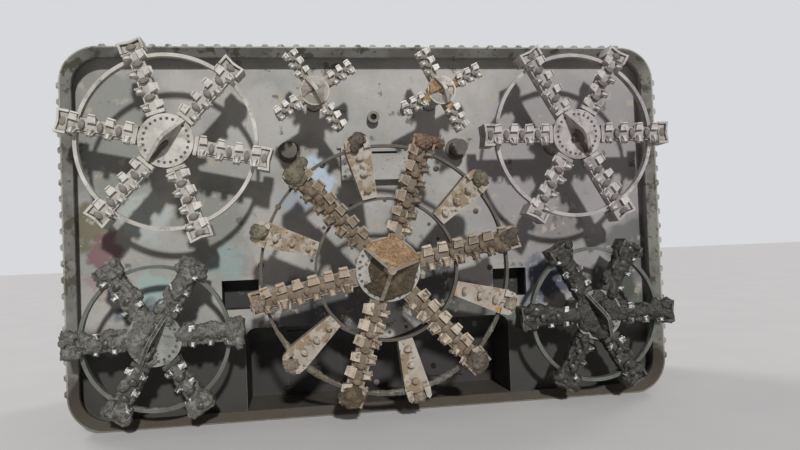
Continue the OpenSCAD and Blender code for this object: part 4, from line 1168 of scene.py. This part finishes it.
# %% Mud on the corner discs
DISC_LUMPS = ((0.09, 0.020), (0.03, 0.008))
lumps_piece("upper_left_blade_mud", "upper_left", [
    (228, 0.17, 0.022, 0.06, 0.26, 0.05, 0.12), (228, 0.06, 0.026, 0.10, 0.16, 0.05, 0.16)], brown_mud, 31,
    lumps=((0.05, 0.010), (0.02, 0.004)))
lumps_piece("upper_right_blade_mud", "upper_right", [
    (120, -0.02, 0.0, 0.12, 0.20, 0.10, 0.22), (300, 0.14, 0.0, 0.09, 0.24, 0.09, 0.16),
    (240, 0.05, 0.0, 0.06, 0.12, 0.10, 0.10)], brown_mud, 32, lumps=((0.05, 0.012), (0.02, 0.005)))
lumps_piece("lower_left_disc_mud", "lower_left", [
    (150, 0.14, 0.0, 0.04, 0.26, 0.34, 0.10), (200, 0.20, 0.0, 0.03, 0.20, 0.24, 0.10),
    (110, 0.22, 0.0, 0.03, 0.18, 0.22, 0.10), (62, 0.24, 0.0, 0.04, 0.14, 0.20, 0.12),
    (250, 0.22, 0.0, 0.03, 0.18, 0.22, 0.10), (242, 0.12, 0.03, 0.10, 0.16, 0.08, 0.18)], dark_mud, 33,
    lumps=DISC_LUMPS)
lumps_piece("lower_right_disc_mud", "lower_right", [
    (200, 0.11, 0.0, 0.05, 0.32, 0.34, 0.14), (280, 0.14, 0.0, 0.05, 0.28, 0.30, 0.14),
    (20, 0.15, 0.0, 0.04, 0.24, 0.28, 0.12), (90, 0.19, 0.0, 0.03, 0.20, 0.22, 0.10),
    (140, 0.20, 0.0, 0.03, 0.18, 0.22, 0.10), (300, 0.10, 0.0, 0.10, 0.20, 0.14, 0.16)], umber_mud, 34,
    lumps=DISC_LUMPS)
print("Lumps on the discs vary by", DISC_LUMPS[0][1] * 1000, "mm")

# %% [markdown]
# The bulkhead carries screws round the centre seal, plugs further out, and cover bolts on the hatch box. They
# could each be an object, but they never part, so one mesh holds them all and rides on the shield.

# %% Screws and plugs on the bulkhead
SEAL_SCREWS = 24
SEAL_SCREW_CIRCLE = 0.790
SEAL_FRONT = BULKHEAD_AHEAD + 0.040
PLUGS = 12
PLUG_CIRCLE = 1.370
PLUG_OUTLINE = [(0.034, -0.003), (0.034, 0.008), (0.028, 0.012), (0.012, 0.012), (0.010, 0.006), (0, 0.006)]
HATCH_FRONT = BULKHEAD_AHEAD + 0.130
centre = ROTORS["centre"]
form = bmesh.new()
for k in range(SEAL_SCREWS):
    at = seat(centre.x, centre.z, SEAL_FRONT, (k + 0.5) * 360 / SEAL_SCREWS)
    add_screw(form, at @ Matrix.Translation((SEAL_SCREW_CIRCLE, 0, 0)), 0.018, 0.010)
for k in range(PLUGS):
    at = seat(centre.x, centre.z, BULKHEAD_AHEAD, k * 360 / PLUGS + 27)
    turned(form, at @ Matrix.Translation((PLUG_CIRCLE, 0, 0)), PLUG_OUTLINE, 20)
for x in (-0.36, 0.36):
    for z in (2.72, 2.87, 3.02):
        add_bolt(form, seat(x, z, HATCH_FRONT), 0.014, 0.014)
add_piece("bulkhead_screws", form, "shield", screw_steel)
print("On the bulkhead:", SEAL_SCREWS, "screws and", PLUGS, "plugs")

# %% [markdown]
# Behind the bulkhead the photograph shows nothing, so the rear carries only what every such drive has: cover
# bolts on bearings and gear cases, cooling ribs round the motors, an end cover, an oil plug and a terminal
# box on each. Ribs could be an array of rings, but one turned outline holds them all. A seat turned about
# its first axis looks back instead of ahead. Drives are rows of how far back the gear case ends, its radius,
# the motor's radius and its length.

# %% Fittings of the drives
CORNER_DRIVE = (1.180, 0.300, 0.190, 0.520)
SMALL_DRIVE = (0.980, 0.180, 0.120, 0.380)
CENTRE_DRIVE = (1.100, None, 0.130, 0.620)
CENTRE_MOTORS = 6
CENTRE_MOTOR_CIRCLE = 0.380
RIB_STEP = 0.030
BOX_OUTLINE = rectangle(-0.070, 0.070, 0.050)
MOTORS = [(row.x, row.z) + (CORNER_DRIVE if row.arms == 6 else SMALL_DRIVE)
          for name, row in ROTORS.items() if name != "centre"]
for k in range(CENTRE_MOTORS):
    t = math.radians(90 + k * 360 / CENTRE_MOTORS)
    MOTORS.append((centre.x + CENTRE_MOTOR_CIRCLE * math.cos(t),
                   centre.z + CENTRE_MOTOR_CIRCLE * math.sin(t)) + CENTRE_DRIVE)


def rear_seat(x, z, behind, angle=0.0):
    """A seat that looks back, at a place behind the cutting edge."""
    return seat(x, z, -behind, angle) @ Matrix.Rotation(math.pi, 4, "X")


def add_motor_fittings(ribs, covers, x, z, back, case_r, motor_r, length):
    """Ribs between the flanges, a domed end cover with its screws, and a terminal box on top."""
    outline = [(motor_r - 0.004, 0.030)]
    height = 0.045
    while height < length - 2 * RIB_STEP:
        outline += [(motor_r - 0.002, height), (motor_r + 0.012, height + 0.002),
                    (motor_r + 0.012, height + 0.008), (motor_r - 0.002, height + 0.010)]
        height += RIB_STEP
    outline.append((motor_r - 0.004, length - 0.045))
    turned(ribs, rear_seat(x, z, back), outline, 48)
    cover = [(0.86, -0.002), (0.86, 0.012), (0.80, 0.020), (0.45, 0.034), (0.42, 0.026), (0.20, 0.026),
             (0.18, 0.040), (0, 0.042)]
    turned(covers, rear_seat(x, z, back + length), [(motor_r * share, height) for share, height in cover], 36)
    for k in range(8):
        end = rear_seat(x, z, back + length, k * 45 + 22.5)
        add_bolt(covers, end @ Matrix.Translation((motor_r + 0.004, 0, 0)), 0.0085, 0.008)
    top = Matrix.Translation((x, CUTTING_EDGE_Y + back + length * 0.5, z + motor_r))
    block(covers, top, BOX_OUTLINE, -0.010, 0.070, 0.006)
    block(covers, top, [(a * 1.06, b * 1.08) for a, b in BOX_OUTLINE], 0.070, 0.082, 0.004)
    gland = top @ Matrix.Translation((0.068, 0, 0.034)) @ Matrix.Rotation(math.pi / 2, 4, "Y")
    turned(covers, gland, [(0.020, 0.0), (0.020, 0.014), (0.015, 0.016), (0.015, 0.030), (0.010, 0.034),
                           (0, 0.034)], 12)
    if case_r:
        for k in range(16):
            spot = rear_seat(x, z, back, k * 22.5 + 11) @ Matrix.Translation((case_r - 0.030, 0, 0))
            add_bolt(covers, spot, 0.013, 0.012)
        plug = Matrix.Translation((x, CUTTING_EDGE_Y + back - 0.120, z + case_r))
        turned(covers, plug, [(0.030, -0.006), (0.030, 0.016), (0.018, 0.018), (0.018, 0.034), (0, 0.036)], 6)


ribs = bmesh.new()
covers = bmesh.new()
for motor in MOTORS:
    add_motor_fittings(ribs, covers, *motor)
CASE_BOLTS = 30
CASE_BOLT_CIRCLE = 0.548
for k in range(CASE_BOLTS):
    at = rear_seat(centre.x, centre.z, CENTRE_DRIVE[0], k * 360 / CASE_BOLTS)
    add_bolt(covers, at @ Matrix.Translation((CASE_BOLT_CIRCLE, 0, 0)), 0.014, 0.014)
add_piece("motor_ribs", ribs, "shield", FINISHES["drive_paint"])
# Cast covers under the same sprayed enamel, a little rougher than the drives' turned faces.
cover_paint = coated("cast_cover_paint", "#4a6a80", "#3b596d", (("#80796b", 0.25, 0.2, 0.05, 0.8, 0.12),),
                     roughness=0.4, wear="#9a9c9a", wear_share=0.6)
add_piece("drive_covers", covers, "shield", cover_paint)
print("Motors fitted out:", len(MOTORS))

# %% [markdown]
# Each bearing ends in a flange that carries the drive. Its bolts show on the flange's front and, outside
# the side drives' gear cases, on its back as well, where they could be nuts, but one helper makes both.
# Rows are the bearing's length, the bolts' circle and their number.

# %% Bearing bolts
BULKHEAD_BACK = 0.360
BEARINGS = {"centre": (0.480, 0.574, 32), "upper": (0.400, 0.325, 20), "lower": (0.400, 0.325, 20),
            "small": (0.300, 0.196, 12)}
BEARING_FLANGE = 0.050
flanges = bmesh.new()
for name, row in ROTORS.items():
    length, radius, count = kind_row(BEARINGS, name)
    spot = Matrix.Translation((radius, 0, 0))
    for k in range(count):
        angle = (k + 0.5) * 360 / count
        front = seat(row.x, row.z, -BULKHEAD_BACK - length + BEARING_FLANGE, angle)
        add_bolt(flanges, front @ spot, 0.014, 0.014)
        if name != "centre":
            rear = rear_seat(row.x, row.z, BULKHEAD_BACK + length, angle)
            add_bolt(flanges, rear @ spot, 0.012, 0.012)
add_piece("bearing_bolts", flanges, "shield", FINISHES["housing_iron"])
print("Bearing bolts on", len(ROTORS), "bearings")

# %% [markdown]
# The windows' rear doors hang on two hinges and are held by two wing nuts each. Hinges are plates with a
# turned barrel, and a wing nut is a turned post with a flat block through it, so the two helpers make both.

# %% Door fittings
DOOR_X = 1.610
DOOR_Z = 1.390
DOOR_BACK = 0.620
HINGE_PLATE = rectangle(-0.235, -0.150, 0.022)
HINGE_BARREL = [(0, 0), (0.012, 0), (0.012, 0.090), (0, 0.090)]
NUT_POST = [(0.024, -0.002), (0.024, 0.006), (0.010, 0.008), (0.010, 0.040), (0, 0.042)]
NUT_WINGS = rectangle(-0.034, 0.034, 0.006)
doors = bmesh.new()
for side in (-1, 1):
    for step in (-0.11, 0.11):
        at = rear_seat(side * DOOR_X, DOOR_Z + step, DOOR_BACK)
        block(doors, at, HINGE_PLATE, 0.0, 0.012, 0.003)
        barrel = at @ Matrix.Translation((-0.236, 0.045, 0.008)) @ Matrix.Rotation(math.pi / 2, 4, "X")
        turned(doors, barrel, HINGE_BARREL, 12)
        nut = at @ Matrix.Translation((0.215, 0, 0))
        turned(doors, nut, NUT_POST, 12)
        block(doors, nut, NUT_WINGS, 0.014, 0.034, 0.004)
add_piece("window_door_fittings", doors, "shield", FINISHES["edge_steel"])
print("Doors fitted at x =", -DOOR_X, "and", DOOR_X)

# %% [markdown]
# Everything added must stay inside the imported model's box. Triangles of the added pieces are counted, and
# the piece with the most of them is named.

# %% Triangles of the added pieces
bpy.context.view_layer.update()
added = {piece.name: sum(len(face.vertices) - 2 for face in piece.data.polygons)
         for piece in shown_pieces() if piece.name not in nodes and piece.type == "MESH"}
most = max(added, key=added.get)
print("Pieces:", len(added), "triangles added:", sum(added.values()), "most:", most, added[most])
